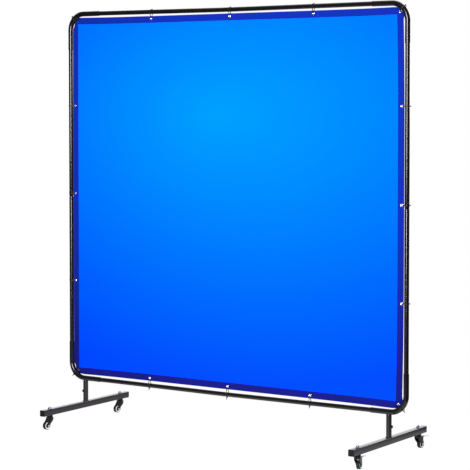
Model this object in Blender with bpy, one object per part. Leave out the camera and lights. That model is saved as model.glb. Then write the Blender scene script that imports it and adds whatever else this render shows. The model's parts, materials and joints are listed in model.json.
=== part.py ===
"""Welding curtain screen on casters.

A tinted PVC curtain is laced with cable ties into a frame of round tube. The frame plugs into two
base bars, and each bar stands on two swivel casters. The right-hand casters have brake pedals.

Units are metres, +Z is up, +X is the viewer's right, and the front faces -Y. The origin is on the
floor, in the middle of the screen.
"""

import math

import bmesh
import bpy
from mathutils import Matrix, Vector

# Frame: rounded rectangle of round tube, measured between the tubes' centre lines.
FRAME_WIDTH = 1.917
FRAME_HEIGHT = 1.838
TUBE_RADIUS = 0.011
TUBE_WALL = 0.0012
TUBE_SIDES = 16
SWAGE_RADIUS = 0.0092
SWAGE_LENGTH = 0.050
SWAGE_TAPER = 0.006
JOINT_GAP = 0.0005
JOINT_OFFSET = 0.020        # the level tubes meet this far left of the middle
MID_SAG = 0.0035            # how far the level tubes droop where their halves meet

# Corner bends: fatter tube, whose open ends take the straight tubes.
CORNER_RADIUS = 0.0127
SOCKET_RADIUS = 0.0114
BEND_RADIUS = 0.080
BEND_STEPS = 7
CORNER_LEG = 0.180          # from the corner of the centre lines to the socket's mouth
SOCKET_DEPTH = 0.060

# Base bars: square tube across the screen, with an upright socket for the frame's plug.
CASTER_HEIGHT = 0.069
BAR_SIZE = 0.030
BAR_WALL = 0.0015
BAR_LENGTH = 0.680
BAR_EDGE = 0.0025
POST_X = 0.871
POST_RADIUS = 0.0127
POST_TOP = 0.2005
PLUG_LENGTH = 0.098
PLUG_WALL = 0.0012
WELD_SIZE = 0.0022
CAP_FLANGE = 0.003
CAP_DEPTH = 0.012
FIT_GAP = 0.0003
BOLT_Z = 0.148
BOLT_RADIUS = 0.0039
BOLT_HOLE_RADIUS = 0.0043
BOLT_HEAD_ACROSS = 0.013
BOLT_HEAD_HEIGHT = 0.0055
BOLT_REACH = 0.020

BAR_TOP = CASTER_HEIGHT + BAR_SIZE
FRAME_BASE = CASTER_HEIGHT + 0.1457     # bottom tube's centre line
FRAME_TOP = FRAME_BASE + FRAME_HEIGHT
FRAME_MIDDLE = FRAME_BASE + FRAME_HEIGHT / 2
HALF_WIDTH = FRAME_WIDTH / 2
HALF_HEIGHT = FRAME_HEIGHT / 2
BEND_X = HALF_WIDTH - BEND_RADIUS       # centre of the right-hand bends
BEND_Z = HALF_HEIGHT - BEND_RADIUS      # the same, above the frame's middle

# Curtain: PVC sheet whose corners lap behind the bends.
SHEET_THICKNESS = 0.001
SHEET_HALF_WIDTH = 0.9445
SHEET_PULL_LEFT = 0.0008     # the left edge draws in this much towards its corners
SHEET_PULL_RIGHT = 0.008    # the right edge draws in more
SHEET_HALF_HEIGHT = 0.8975
SHEET_RISE = 0.0045         # the top and bottom edges lift out this much towards the corners
SHEET_CORNER = 0.008
LAP_DEPTH = 0.0144          # how far a corner stands behind the frame's mid-plane
LAP_START = 0.052
LAP_END = 0.0768
LAP_SPREAD = 0.6
EYELET_HOLE_RADIUS = 0.0037
EYELET_ROW_X = 0.9235       # ends of the even spacing in the top and bottom rows
EYELET_ROW_Z = 0.884        # top and bottom rows, from the frame's middle
EYELET_ROW_SKEW = 0.007     # the top row sits right of even and the bottom row left of it
CORNER_EYELET = 0.041       # a corner's eyelet from the centre of the bend, across and up
EYELET_SIDE_X = 0.9325
EYELETS_PER_SIDE = 5
SIDE_EYELET_LIFT = 0.017    # the side eyelets sit above an even spacing

# Cable ties.
TIE_WIDTH = 0.0036
TIE_THICKNESS = 0.0012
TIE_CLEARANCE = 0.0007
TIE_TIP_RADIUS = 0.0036
CORNER_TIE_SHIFT = 0.0017   # the corner straps sit back, over the lapped sheet
CORNER_TIE_SLACK = 0.0033
CORNER_TIE_TIP = 0.0025
TIE_HEAD = (0.0050, 0.0055, 0.0042)     # across the strap, along it, outwards
TIE_TAIL_SHORT = 0.0015
TIE_TAIL_LONG = 0.0075
TIE_TAIL_SIZE = (0.0032, 0.0012)

# Casters: the swivel axis is local Z, the wheel trails towards local +X.
STEM_Y = 0.2845
STEM_RADIUS = 0.0049
STEM_HOLE_RADIUS = 0.0054
NUT_ACROSS = 0.016
NUT_HEIGHT = 0.008
STEM_PROUD = 0.003
CUP_RADIUS = 0.015
CUP_BOTTOM = 0.0625
KINGPIN_RADIUS = 0.004
CROWN_RADIUS = 0.0155
CROWN_TOP = 0.062
CROWN_BOTTOM = 0.050
WHEEL_RADIUS = 0.020
WHEEL_HALF_WIDTH = 0.0085
WHEEL_STEPS = 20
TRAIL = 0.022
ARM_INSIDE = 0.0095
ARM_THICKNESS = 0.003
AXLE_RADIUS = 0.003
AXLE_HOLE_RADIUS = 0.0034
PIVOT = (0.0215, 0.0505)    # brake pedal's pivot, along the trail and above the floor
PIVOT_RADIUS = 0.0022
PIVOT_HOLE_RADIUS = 0.0026

# Each caster: name, bar side, bar end, trail direction in degrees, whether it has a brake.
CASTERS = (
    ("front_left", -1, -1, -95.0, False),
    ("rear_left", -1, 1, -97.0, False),
    ("front_right", 1, -1, 101.0, True),
    ("rear_right", 1, 1, 87.0, True),
)


# ---------------------------------------------------------------- scene and materials

def clear_scene():
    """Remove every object that the file opened with."""
    for obj in list(bpy.data.objects):
        bpy.data.objects.remove(obj, do_unlink=True)


def make_material(name, colour, roughness, metallic=0.0, alpha=1.0):
    """One Principled BSDF material."""
    material = bpy.data.materials.new(name)
    material.use_nodes = True
    shader = material.node_tree.nodes["Principled BSDF"]
    shader.inputs["Base Color"].default_value = (*colour, 1.0)
    shader.inputs["Roughness"].default_value = roughness
    shader.inputs["Metallic"].default_value = metallic
    shader.inputs["Alpha"].default_value = alpha
    return material


def make_materials():
    """The finishes of the screen, by name."""
    return {
        "black_steel": make_material("powder_coated_steel", (0.022, 0.020, 0.022), 0.42, 0.2),
        "film": make_material("tinted_pvc", (0.0, 0.16, 0.95), 0.18, 0.0, 0.8),
        "cap": make_material("black_polyethylene", (0.004, 0.004, 0.004), 0.55),
        "nylon": make_material("black_nylon", (0.008, 0.008, 0.008), 0.45),
        "zinc": make_material("zinc_plated_steel", (0.62, 0.62, 0.64), 0.32, 1.0),
        "fork": make_material("black_fork_steel", (0.006, 0.006, 0.006), 0.35, 0.1),
        "wheel": make_material("grey_wheel_core", (0.55, 0.55, 0.57), 0.4),
    }


# ---------------------------------------------------------------- mesh helpers

def finish_mesh(name, bm):
    """Turn a bmesh into a mesh with its faces pointing out."""
    bmesh.ops.recalc_face_normals(bm, faces=bm.faces)
    mesh = bpy.data.meshes.new(name)
    bm.to_mesh(mesh)
    bm.free()
    return mesh


def add_object(name, mesh, material=None, location=(0, 0, 0), turn=None, parent=None):
    """Link one object, with round faces shaded smooth."""
    obj = bpy.data.objects.new(name, mesh)
    bpy.context.scene.collection.objects.link(obj)
    if material is not None:
        mesh.materials.clear()
        mesh.materials.append(material)
        mesh.shade_smooth()
        mesh.set_sharp_from_angle(angle=math.radians(35))
    if turn is not None:
        obj.rotation_euler = turn
    obj.location = location
    obj.parent = parent
    return obj


def combine(mesh, steps):
    """Apply ("UNION" or "DIFFERENCE", tool mesh) steps to a mesh, one after another."""
    target = add_object("target", mesh)
    tools = []
    for operation, tool_mesh in steps:
        tool = add_object("tool", tool_mesh)
        tools.append(tool)
        modifier = target.modifiers.new("combine", "BOOLEAN")
        modifier.operation = operation
        modifier.solver = "EXACT"
        modifier.object = tool
    evaluated = target.evaluated_get(bpy.context.evaluated_depsgraph_get())
    result = bpy.data.meshes.new_from_object(evaluated)
    for obj in [target, *tools]:
        bpy.data.objects.remove(obj, do_unlink=True)
    return result


def moved(mesh, matrix):
    """The same mesh after a matrix is applied to it."""
    mesh.transform(matrix)
    return mesh


def box_mesh(low, high, edge=0.0, axis=None):
    """A box between two corners, whose edges along one axis can be rounded."""
    bm = bmesh.new()
    centre = (Vector(low) + Vector(high)) / 2
    size = Vector(high) - Vector(low)
    bmesh.ops.create_cube(bm, size=1.0, matrix=Matrix.Translation(centre) @ Matrix.Diagonal((*size, 1)))
    if edge:
        long_edges = [e for e in bm.edges if abs((e.verts[0].co - e.verts[1].co)[axis]) > size[axis] / 2]
        bmesh.ops.bevel(bm, geom=long_edges, offset=edge, segments=3, profile=0.5, affect="EDGES")
    return finish_mesh("box", bm)


def lathe_mesh(profile, sides, phase=0.0):
    """Turn a closed outline of (radius, z) points round the Z axis.

    Neighbouring points on the axis close the body there; a zero radius becomes one vertex.
    """
    bm = bmesh.new()
    rings = []
    for radius, z in profile:
        if radius == 0.0:
            rings.append([bm.verts.new((0.0, 0.0, z))])
            continue
        ring = []
        for step in range(sides):
            angle = phase + 2 * math.pi * step / sides
            ring.append(bm.verts.new((radius * math.cos(angle), radius * math.sin(angle), z)))
        rings.append(ring)
    for first, second in zip(rings, rings[1:] + rings[:1]):
        join_rings(bm, first, second)
    return finish_mesh("turned", bm)


def join_rings(bm, first, second):
    """Bridge two rings of vertices; a ring of one vertex is a point on the axis."""
    if len(first) == 1 and len(second) == 1:
        return
    count = max(len(first), len(second))
    for step in range(count):
        following = (step + 1) % count
        corners = [first[step % len(first)], first[following % len(first)]]
        corners += [second[following % len(second)], second[step % len(second)]]
        unique = list(dict.fromkeys(corners))
        bm.faces.new(unique)


def sweep_mesh(stations, radius, sides, bore=None):
    """Sweep a circle along (centre, right, up) stations, hollow where a bore is given."""
    bm = bmesh.new()

    def ring(station, ring_radius):
        centre, right, up = station
        points = []
        for step in range(sides):
            angle = 2 * math.pi * step / sides
            points.append(centre + ring_radius * (math.cos(angle) * right + math.sin(angle) * up))
        return [bm.verts.new(point) for point in points]

    outer = [ring(station, radius) for station in stations]
    for first, second in zip(outer, outer[1:]):
        join_rings(bm, first, second)
    if bore is None:
        bm.faces.new(outer[0])
        bm.faces.new(outer[-1])
        return finish_mesh("swept", bm)
    inner = [ring(station, bore) for station in stations]
    for first, second in zip(inner, inner[1:]):
        join_rings(bm, first, second)
    join_rings(bm, outer[0], inner[0])
    join_rings(bm, outer[-1], inner[-1])
    return finish_mesh("swept", bm)


def plate_mesh(outline, y_low, y_high):
    """Extrude an outline of (x, z) points from y_low to y_high."""
    bm = bmesh.new()
    face = bm.faces.new([bm.verts.new((x, y_low, z)) for x, z in outline])
    extruded = bmesh.ops.extrude_face_region(bm, geom=[face])
    shifted = [item for item in extruded["geom"] if isinstance(item, bmesh.types.BMVert)]
    bmesh.ops.translate(bm, verts=shifted, vec=(0, y_high - y_low, 0))
    return finish_mesh("plate", bm)


def cylinder_mesh(radius, start, end, sides):
    """A solid cylinder between two points."""
    start = Vector(start)
    axis = Vector(end) - start
    turn = axis.to_track_quat("Z", "Y").to_matrix().to_4x4()
    outline = [(0.0, 0.0), (radius, 0.0), (radius, axis.length), (0.0, axis.length)]
    return moved(lathe_mesh(outline, sides), Matrix.Translation(start) @ turn)


def arc_points(centre, radius, start, end, steps):
    """Points on an arc, with its angles in degrees."""
    points = []
    for step in range(steps + 1):
        angle = math.radians(start + (end - start) * step / steps)
        points.append((centre[0] + radius * math.cos(angle), centre[1] + radius * math.sin(angle)))
    return points


def smooth(value):
    """Ease from 0 to 1 as value goes from 0 to 1."""
    value = min(max(value, 0.0), 1.0)
    return value * value * (3 - 2 * value)


# ---------------------------------------------------------------- frame

def bend_stations(leg):
    """Centre line of a corner bend, from the end of its leg along -X to the end along -Z."""
    out = Vector((0, 1, 0))
    stations = [(Vector((-leg, 0, 0)), out, Vector((0, 0, 1)))]
    centre = Vector((-BEND_RADIUS, 0, -BEND_RADIUS))
    for step in range(BEND_STEPS + 1):
        angle = math.pi / 2 * (1 - step / BEND_STEPS)
        radial = Vector((math.cos(angle), 0, math.sin(angle)))
        stations.append((centre + BEND_RADIUS * radial, out, radial))
    stations.append((Vector((0, 0, -leg)), out, Vector((1, 0, 0))))
    return stations


def corner_mesh():
    """Upper corner bend: a hollow elbow with an open socket at each end."""
    return sweep_mesh(bend_stations(CORNER_LEG), CORNER_RADIUS, TUBE_SIDES, SOCKET_RADIUS)


def lower_corner_mesh():
    """Lower corner bend, with the hollow plug that goes down into the base welded on."""
    overshoot = 0.002
    elbow = sweep_mesh(bend_stations(CORNER_LEG), CORNER_RADIUS, TUBE_SIDES)
    bore = sweep_mesh(bend_stations(CORNER_LEG + overshoot), SOCKET_RADIUS, TUBE_SIDES)
    plug_x = POST_X - HALF_WIDTH
    plug = cylinder_mesh(TUBE_RADIUS, (plug_x, 0, 0), (plug_x, 0, PLUG_LENGTH), TUBE_SIDES)
    plug_bore = cylinder_mesh(
        TUBE_RADIUS - PLUG_WALL,
        (plug_x, 0, CORNER_RADIUS + 0.001),
        (plug_x, 0, PLUG_LENGTH + overshoot),
        TUBE_SIDES,
    )
    bolt_z = FRAME_BASE - BOLT_Z
    bolt_hole = cylinder_mesh(BOLT_HOLE_RADIUS, (plug_x, 0, bolt_z), (plug_x + 0.02, 0, bolt_z), 12)
    return combine(elbow, [
        ("UNION", plug),
        ("DIFFERENCE", bore),
        ("DIFFERENCE", plug_bore),
        ("DIFFERENCE", bolt_hole),
    ])


def build_corners(materials):
    """The four corner bends; half turns carry the upper right one to the others."""
    upper = corner_mesh()
    lower = lower_corner_mesh()
    places = (
        ("corner_upper_right", upper, HALF_WIDTH, FRAME_TOP, (0, 0, 0)),
        ("corner_upper_left", upper, -HALF_WIDTH, FRAME_TOP, (0, 0, math.pi)),
        ("corner_lower_right", lower, HALF_WIDTH, FRAME_BASE, (math.pi, 0, 0)),
        ("corner_lower_left", lower, -HALF_WIDTH, FRAME_BASE, (0, math.pi, 0)),
    )
    for name, mesh, x, z, turn in places:
        add_object(name, mesh, materials["black_steel"], (x, 0, z), turn)


def tube_mesh(length, swaged):
    """A straight tube along +X; a swaged one has a thinner far end beyond its length."""
    bore = TUBE_RADIUS - TUBE_WALL
    swage_bore = SWAGE_RADIUS - TUBE_WALL
    outline = [(TUBE_RADIUS, 0.0), (TUBE_RADIUS, length)]
    if swaged:
        outline += [
            (SWAGE_RADIUS, length + SWAGE_TAPER),
            (SWAGE_RADIUS, length + SWAGE_TAPER + SWAGE_LENGTH),
            (swage_bore, length + SWAGE_TAPER + SWAGE_LENGTH),
            (swage_bore, length + SWAGE_TAPER),
        ]
    outline += [(bore, length), (bore, 0.0)]
    return moved(lathe_mesh(outline, TUBE_SIDES), Matrix.Rotation(math.pi / 2, 4, "Y"))


def add_tube(name, start, end, swaged, material):
    """One straight tube from the bottom of its corner socket to the joint of its pair."""
    start = Vector(start)
    run = Vector(end) - start
    length = run.length - (SWAGE_TAPER + JOINT_GAP if swaged else 0.0)
    turn = run.to_track_quat("X", "Z").to_euler()
    add_object(name, tube_mesh(length, swaged), material, start, turn)


def level_line(z, x):
    """Centre of a level tube at x: it droops in a straight line towards the joint."""
    mouth = HALF_WIDTH - CORNER_LEG
    reach = (mouth - abs(x)) / (mouth - JOINT_OFFSET)
    return Vector((x, 0, z - MID_SAG * reach))


def build_tubes(materials):
    """Eight straight tubes, two to a side; the second of each pair carries the swage."""
    steel = materials["black_steel"]
    inner = HALF_WIDTH - CORNER_LEG + SOCKET_DEPTH
    for row, z in (("top", FRAME_TOP), ("bottom", FRAME_BASE)):
        joint = level_line(z, -JOINT_OFFSET)
        add_tube(f"tube_{row}_left", level_line(z, -inner), joint, False, steel)
        add_tube(f"tube_{row}_right", level_line(z, inner), joint, True, steel)
    low = FRAME_BASE + CORNER_LEG - SOCKET_DEPTH
    high = FRAME_TOP - CORNER_LEG + SOCKET_DEPTH
    for side, x in (("left", -HALF_WIDTH), ("right", HALF_WIDTH)):
        joint = (x, 0, FRAME_MIDDLE)
        add_tube(f"upright_{side}_lower", (x, 0, low), joint, False, steel)
        add_tube(f"upright_{side}_upper", (x, 0, high), joint, True, steel)


# ---------------------------------------------------------------- bases

def base_mesh():
    """Square bar along Y with its underside at z = 0, and the welded post socket on top."""
    half = BAR_SIZE / 2
    half_bore = half - BAR_WALL
    half_length = BAR_LENGTH / 2
    post_height = POST_TOP - CASTER_HEIGHT
    bolt_height = BOLT_Z - CASTER_HEIGHT
    bar = box_mesh((-half, -half_length, 0), (half, half_length, BAR_SIZE), BAR_EDGE, 1)
    post = lathe_mesh([
        (0.0, BAR_SIZE - BAR_WALL / 2),
        (POST_RADIUS + WELD_SIZE, BAR_SIZE - BAR_WALL / 2),
        (POST_RADIUS + WELD_SIZE, BAR_SIZE + 0.0004),
        (POST_RADIUS, BAR_SIZE + WELD_SIZE + 0.0008),
        (POST_RADIUS, post_height),
        (0.0, post_height),
    ], TUBE_SIDES)
    channel = box_mesh(
        (-half_bore, -half_length - 0.01, BAR_WALL),
        (half_bore, half_length + 0.01, BAR_SIZE - BAR_WALL),
        BAR_EDGE - BAR_WALL,
        1,
    )
    socket = cylinder_mesh(SOCKET_RADIUS, (0, 0, BAR_SIZE + 0.0005), (0, 0, post_height + 0.01), TUBE_SIDES)
    bolt_hole = cylinder_mesh(BOLT_HOLE_RADIUS, (0, 0, bolt_height), (0.03, 0, bolt_height), 12)
    steps = [("UNION", post), ("DIFFERENCE", channel), ("DIFFERENCE", socket), ("DIFFERENCE", bolt_hole)]
    for y in (-STEM_Y, STEM_Y):
        hole = cylinder_mesh(STEM_HOLE_RADIUS, (0, y, -0.01), (0, y, BAR_SIZE + 0.01), 12)
        steps.append(("DIFFERENCE", hole))
    return combine(bar, steps)


def cap_mesh():
    """End cap: a flange over the bar's end, facing +Y, and a plug inside the tube."""
    half = BAR_SIZE / 2
    plug_half = half - BAR_WALL - FIT_GAP
    flange = box_mesh((-half, FIT_GAP, 0), (half, CAP_FLANGE, BAR_SIZE), BAR_EDGE, 1)
    plug = box_mesh(
        (-plug_half, -CAP_DEPTH, half - plug_half),
        (plug_half, CAP_FLANGE / 2, half + plug_half),
        0.001,
        1,
    )
    return combine(flange, [("UNION", plug)])


def bolt_mesh():
    """Hex lock bolt along +X, with its flange face at x = 0 and its shank behind."""
    head = lathe_mesh([
        (0.0, 0.0008),
        (BOLT_HEAD_ACROSS / math.sqrt(3), 0.0008),
        (BOLT_HEAD_ACROSS / math.sqrt(3), BOLT_HEAD_HEIGHT),
        (0.0, BOLT_HEAD_HEIGHT),
    ], 6)
    shank = lathe_mesh([
        (0.0, -BOLT_REACH),
        (BOLT_RADIUS - 0.0008, -BOLT_REACH),
        (BOLT_RADIUS, -BOLT_REACH + 0.001),
        (BOLT_RADIUS, 0.0),
        (BOLT_HEAD_ACROSS / 2 + 0.0012, 0.0),
        (BOLT_HEAD_ACROSS / 2 + 0.0012, 0.0012),
        (0.0, 0.0012),
    ], 12)
    return moved(combine(shank, [("UNION", head)]), Matrix.Rotation(math.pi / 2, 4, "Y"))


def build_bases(materials):
    """Both base bars with their end caps and lock bolts."""
    base = base_mesh()
    cap = cap_mesh()
    bolt = bolt_mesh()
    for side, sign in (("left", -1), ("right", 1)):
        turn = (0, 0, 0 if sign > 0 else math.pi)
        x = sign * POST_X
        add_object(f"base_{side}", base, materials["black_steel"], (x, 0, CASTER_HEIGHT), turn)
        bolt_x = x + sign * (POST_RADIUS + FIT_GAP)
        add_object(f"lock_bolt_{side}", bolt, materials["black_steel"], (bolt_x, 0, BOLT_Z), turn)
        for end, direction in (("front", -1), ("rear", 1)):
            cap_turn = (0, 0, 0 if direction > 0 else math.pi)
            place = (x, direction * BAR_LENGTH / 2, CASTER_HEIGHT)
            add_object(f"end_cap_{end}_{side}", cap, materials["cap"], place, cap_turn)


# ---------------------------------------------------------------- curtain

def sheet_lines(bend, edge):
    """Grid lines of a half sheet: wide in the middle, close over the corner bend."""
    steps = 10
    inner_edge = edge - SHEET_CORNER - 0.003
    corner_lines = [bend + (inner_edge - bend) * step / steps for step in range(steps + 1)]
    half = [bend / 2, *corner_lines, edge]
    return [-line for line in reversed(half)] + half


def lap_at(x, z):
    """How far the sheet stands behind the frame's mid-plane at a place on it."""
    over_x = max(abs(x) - BEND_X, 0.0)
    over_z = max(abs(z) - BEND_Z, 0.0)
    reach = math.hypot(over_x, over_z)
    if over_x == 0.0 or over_z == 0.0:
        return 0.0
    cornerness = 2 * over_x * over_z / (reach * reach)
    climb = smooth((reach - LAP_START) / (LAP_END - LAP_START))
    return LAP_DEPTH * climb * smooth(cornerness / LAP_SPREAD)


def bowed(point):
    """Shape a point of the sheet within its plane: its edges reach furthest at the corners' ends."""
    u = point.x / SHEET_HALF_WIDTH
    v = point.z / SHEET_HALF_HEIGHT
    pull = SHEET_PULL_RIGHT if point.x > 0 else SHEET_PULL_LEFT
    x = point.x * (1 - pull / SHEET_HALF_WIDTH * v ** 4)
    z = point.z + math.copysign(SHEET_RISE, v) * u ** 6 * v * v
    return Vector((x, point.y, z))


def eyelet_places():
    """Every eyelet as (name, x, z above the frame's middle), clockwise from the upper left."""
    places = []
    last = EYELETS_PER_SIDE - 1
    for number in range(EYELETS_PER_SIDE):
        share = 2 * number / last - 1
        for row, sign in (("top", 1), ("bottom", -1)):
            x = share * EYELET_ROW_X + sign * EYELET_ROW_SKEW
            z = sign * EYELET_ROW_Z
            if number in (0, last):
                x = share * (BEND_X + CORNER_EYELET)
                z = sign * (BEND_Z + CORNER_EYELET)
            places.append((f"{row}_{number + 1}", x, z))
    for number in range(1, last):
        z = EYELET_ROW_Z * (1 - 2 * number / last) + SIDE_EYELET_LIFT
        places.append((f"left_{number}", -EYELET_SIDE_X, z))
        places.append((f"right_{number}", EYELET_SIDE_X, z))
    return places


def curtain_mesh():
    """The sheet round its middle, one film thick, with a hole for each eyelet."""
    bm = bmesh.new()
    columns = sheet_lines(BEND_X, SHEET_HALF_WIDTH)
    rows = sheet_lines(BEND_Z, SHEET_HALF_HEIGHT)
    low = -SHEET_THICKNESS / 2
    grid = [[bm.verts.new((x, low, z)) for x in columns] for z in rows]
    for lower, upper in zip(grid, grid[1:]):
        for left in range(len(columns) - 1):
            bm.faces.new((lower[left], lower[left + 1], upper[left + 1], upper[left]))
    tips = [grid[0][0], grid[0][-1], grid[-1][0], grid[-1][-1]]
    bmesh.ops.bevel(bm, geom=tips, offset=SHEET_CORNER, segments=4, profile=0.5, affect="VERTICES")
    for vert in bm.verts:
        vert.co = bowed(vert.co)
    extruded = bmesh.ops.extrude_face_region(bm, geom=bm.faces[:], use_keep_orig=True)
    back = [item for item in extruded["geom"] if isinstance(item, bmesh.types.BMVert)]
    bmesh.ops.translate(bm, verts=back, vec=(0, SHEET_THICKNESS, 0))
    holes = []
    for _, x, z in eyelet_places():
        hole = cylinder_mesh(EYELET_HOLE_RADIUS, (x, -0.03, z), (x, 0.03, z), 12)
        holes.append(("DIFFERENCE", hole))
    mesh = combine(finish_mesh("curtain", bm), holes)
    bm = bmesh.new()
    bm.from_mesh(mesh)
    bmesh.ops.remove_doubles(bm, verts=bm.verts[:], dist=1e-6)
    bmesh.ops.triangulate(bm, faces=bm.faces[:])
    for vert in bm.verts:
        vert.co.y += lap_at(vert.co.x, vert.co.z)
    return finish_mesh("curtain", bm)


def build_curtain(materials):
    """The curtain, hung in the middle of the frame."""
    add_object("curtain", curtain_mesh(), materials["film"], (0, 0, FRAME_MIDDLE))


# ---------------------------------------------------------------- cable ties

def belt_points(large, small, large_radius, small_radius, grow):
    """A belt round two circles in the (y, z) plane, grown outwards by a margin."""
    run = Vector(small) - Vector(large)
    ahead = run.normalized()
    aside = Vector((-ahead.y, ahead.x))
    wrap = math.acos((large_radius - small_radius) / run.length)
    points = []
    for centre, radius, start, end, steps in (
        (large, large_radius, wrap, 2 * math.pi - wrap, 9),
        (small, small_radius, -wrap, wrap, 4),
    ):
        for step in range(steps + 1):
            angle = start + (end - start) * step / steps
            spoke = math.cos(angle) * ahead + math.sin(angle) * aside
            points.append(Vector(centre) + (radius + grow) * spoke)
    return points


def tie_mesh(core, tip, head_turn, tail):
    """A closed cable tie round a tube at the origin and through an eyelet below it.

    core and tip are circles (y, z, radius) that the strap's middle layer runs round.
    head_turn swings the head from the outer side towards the front, in degrees.
    """
    half = TIE_THICKNESS / 2
    bm = bmesh.new()
    loops = []
    for grow in (-half, half):
        outline = belt_points(core[:2], tip[:2], core[2], tip[2], grow)
        for x in (-TIE_WIDTH / 2, TIE_WIDTH / 2):
            loops.append([bm.verts.new((x, point.x, point.y)) for point in outline])
    inner_low, inner_high, outer_low, outer_high = loops
    for first, second in (
        (inner_low, inner_high), (inner_high, outer_high), (outer_high, outer_low), (outer_low, inner_low),
    ):
        join_rings(bm, first, second)
    strap = finish_mesh("strap", bm)
    across, along, height = TIE_HEAD
    low = core[2] + half - 0.0004
    head = box_mesh((-across / 2, -along / 2, low), (across / 2, along / 2, low + height), 0.0008, 2)
    tail_width, tail_depth = TIE_TAIL_SIZE
    tail_box = box_mesh(
        (-tail_width / 2, -tail_depth / 2, low + height / 2),
        (tail_width / 2, tail_depth / 2, low + height + tail),
    )
    swing = Matrix.Translation((0, core[0], 0)) @ Matrix.Rotation(math.radians(head_turn), 4, "X")
    return combine(strap, [("UNION", moved(head, swing)), ("UNION", moved(tail_box, swing))])


def corner_tie(x, z, tail):
    """Placement and strap of a tie that binds a lapped corner of the sheet to a bend."""
    diagonal = BEND_RADIUS / math.sqrt(2)
    centre = Vector((math.copysign(BEND_X + diagonal, x), 0, math.copysign(BEND_Z + diagonal, z)))
    reach = math.hypot(x - centre.x, z - centre.z)
    turn = math.copysign(math.pi * (0.25 if z > 0 else 0.75), x)
    core = (CORNER_TIE_SHIFT, 0.0, CORNER_RADIUS + CORNER_TIE_SLACK)
    tip = (lap_at(x, z) + 0.001, 0.0012 - reach, CORNER_TIE_TIP)
    return centre, turn, tie_mesh(core, tip, 10.0, tail)


def straight_tie(centre, turn, x, z, head_turn, tail):
    """Placement and strap of a tie that binds an edge of the sheet to a straight tube."""
    half = TIE_THICKNESS / 2
    reach = math.hypot(x - centre.x, z - centre.z)
    grip = EYELET_HOLE_RADIUS - 3 * FIT_GAP - half
    core = (0.0, 0.0, TUBE_RADIUS + TIE_CLEARANCE + half)
    tip = (0.0, grip + TIE_TIP_RADIUS - reach, TIE_TIP_RADIUS)
    return centre, turn, tie_mesh(core, tip, head_turn, tail)


def tie_at(name, x, z):
    """Placement and strap of the tie at one eyelet."""
    low = name.startswith("bottom")
    tail = TIE_TAIL_LONG if low else TIE_TAIL_SHORT
    if abs(x) > BEND_X and abs(z) > BEND_Z:
        return corner_tie(x, z, tail)
    if abs(z) > BEND_Z:
        tube = level_line(FRAME_BASE if low else FRAME_TOP, x)
        centre = Vector((x, 0, tube.z - FRAME_MIDDLE))
        return straight_tie(centre, math.pi if low else 0.0, x, z, 15.0 if low else -35.0, tail)
    centre = Vector((math.copysign(HALF_WIDTH, x), 0, z))
    return straight_tie(centre, math.copysign(math.pi / 2, x), x, z, -50.0, tail)


def build_ties(materials):
    """One cable tie through every eyelet."""
    for name, x, z in eyelet_places():
        centre, turn, mesh = tie_at(name, x, z)
        place = centre + Vector((0, 0, FRAME_MIDDLE))
        add_object(f"cable_tie_{name}", mesh, materials["nylon"], place, (0, turn, 0))


# ---------------------------------------------------------------- casters

def stem_mesh():
    """Threaded stem with the swivel's bearing cup, and the kingpin riveted under the crown."""
    top = BAR_TOP + FIT_GAP + NUT_HEIGHT + STEM_PROUD
    return lathe_mesh([
        (0.0, CROWN_BOTTOM - 0.0028),
        (0.0065, CROWN_BOTTOM - 0.0028),
        (0.0065, CROWN_BOTTOM - FIT_GAP),
        (KINGPIN_RADIUS, CROWN_BOTTOM - FIT_GAP),
        (KINGPIN_RADIUS, CUP_BOTTOM),
        (CUP_RADIUS - 0.001, CUP_BOTTOM),
        (CUP_RADIUS, CUP_BOTTOM + 0.0015),
        (CUP_RADIUS, CASTER_HEIGHT - 0.0015),
        (CUP_RADIUS - 0.002, CASTER_HEIGHT - FIT_GAP),
        (STEM_RADIUS, CASTER_HEIGHT - FIT_GAP),
        (STEM_RADIUS, top - 0.001),
        (STEM_RADIUS - 0.001, top),
        (0.0, top),
    ], 12)


def nut_mesh():
    """Hex nut that clamps the stem to the top of the bar."""
    low = BAR_TOP + FIT_GAP
    hexagon = lathe_mesh([
        (0.0, low),
        (NUT_ACROSS / math.sqrt(3), low),
        (NUT_ACROSS / math.sqrt(3), low + NUT_HEIGHT),
        (0.0, low + NUT_HEIGHT),
    ], 6)
    bore = cylinder_mesh(STEM_RADIUS + FIT_GAP + 0.0001, (0, 0, low - 0.01), (0, 0, low + 0.02), 12)
    return combine(hexagon, [("DIFFERENCE", bore)])


def arm_outline(braked):
    """Side view of a fork arm: broad at the crown, sweeping back to the axle."""
    back = [(-0.0135, 0.060), (-0.0135, 0.050), (-0.0115, 0.0445), (-0.006, 0.039), (0.0006, 0.033)]
    back += [(0.0089, 0.0245)]
    foot = arc_points((TRAIL, WHEEL_RADIUS), 0.0068, 200, 350, 5)
    if braked:
        front = [(0.0275, 0.033)]
        front += arc_points(PIVOT, 0.0055, 0, 90, 3)
        return back + foot + front + [(0.0135, 0.060)]
    front = [(0.0268, 0.033), (0.0195, 0.045), (0.0145, 0.050)]
    return back + foot + front + [(0.0135, 0.060)]


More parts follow.
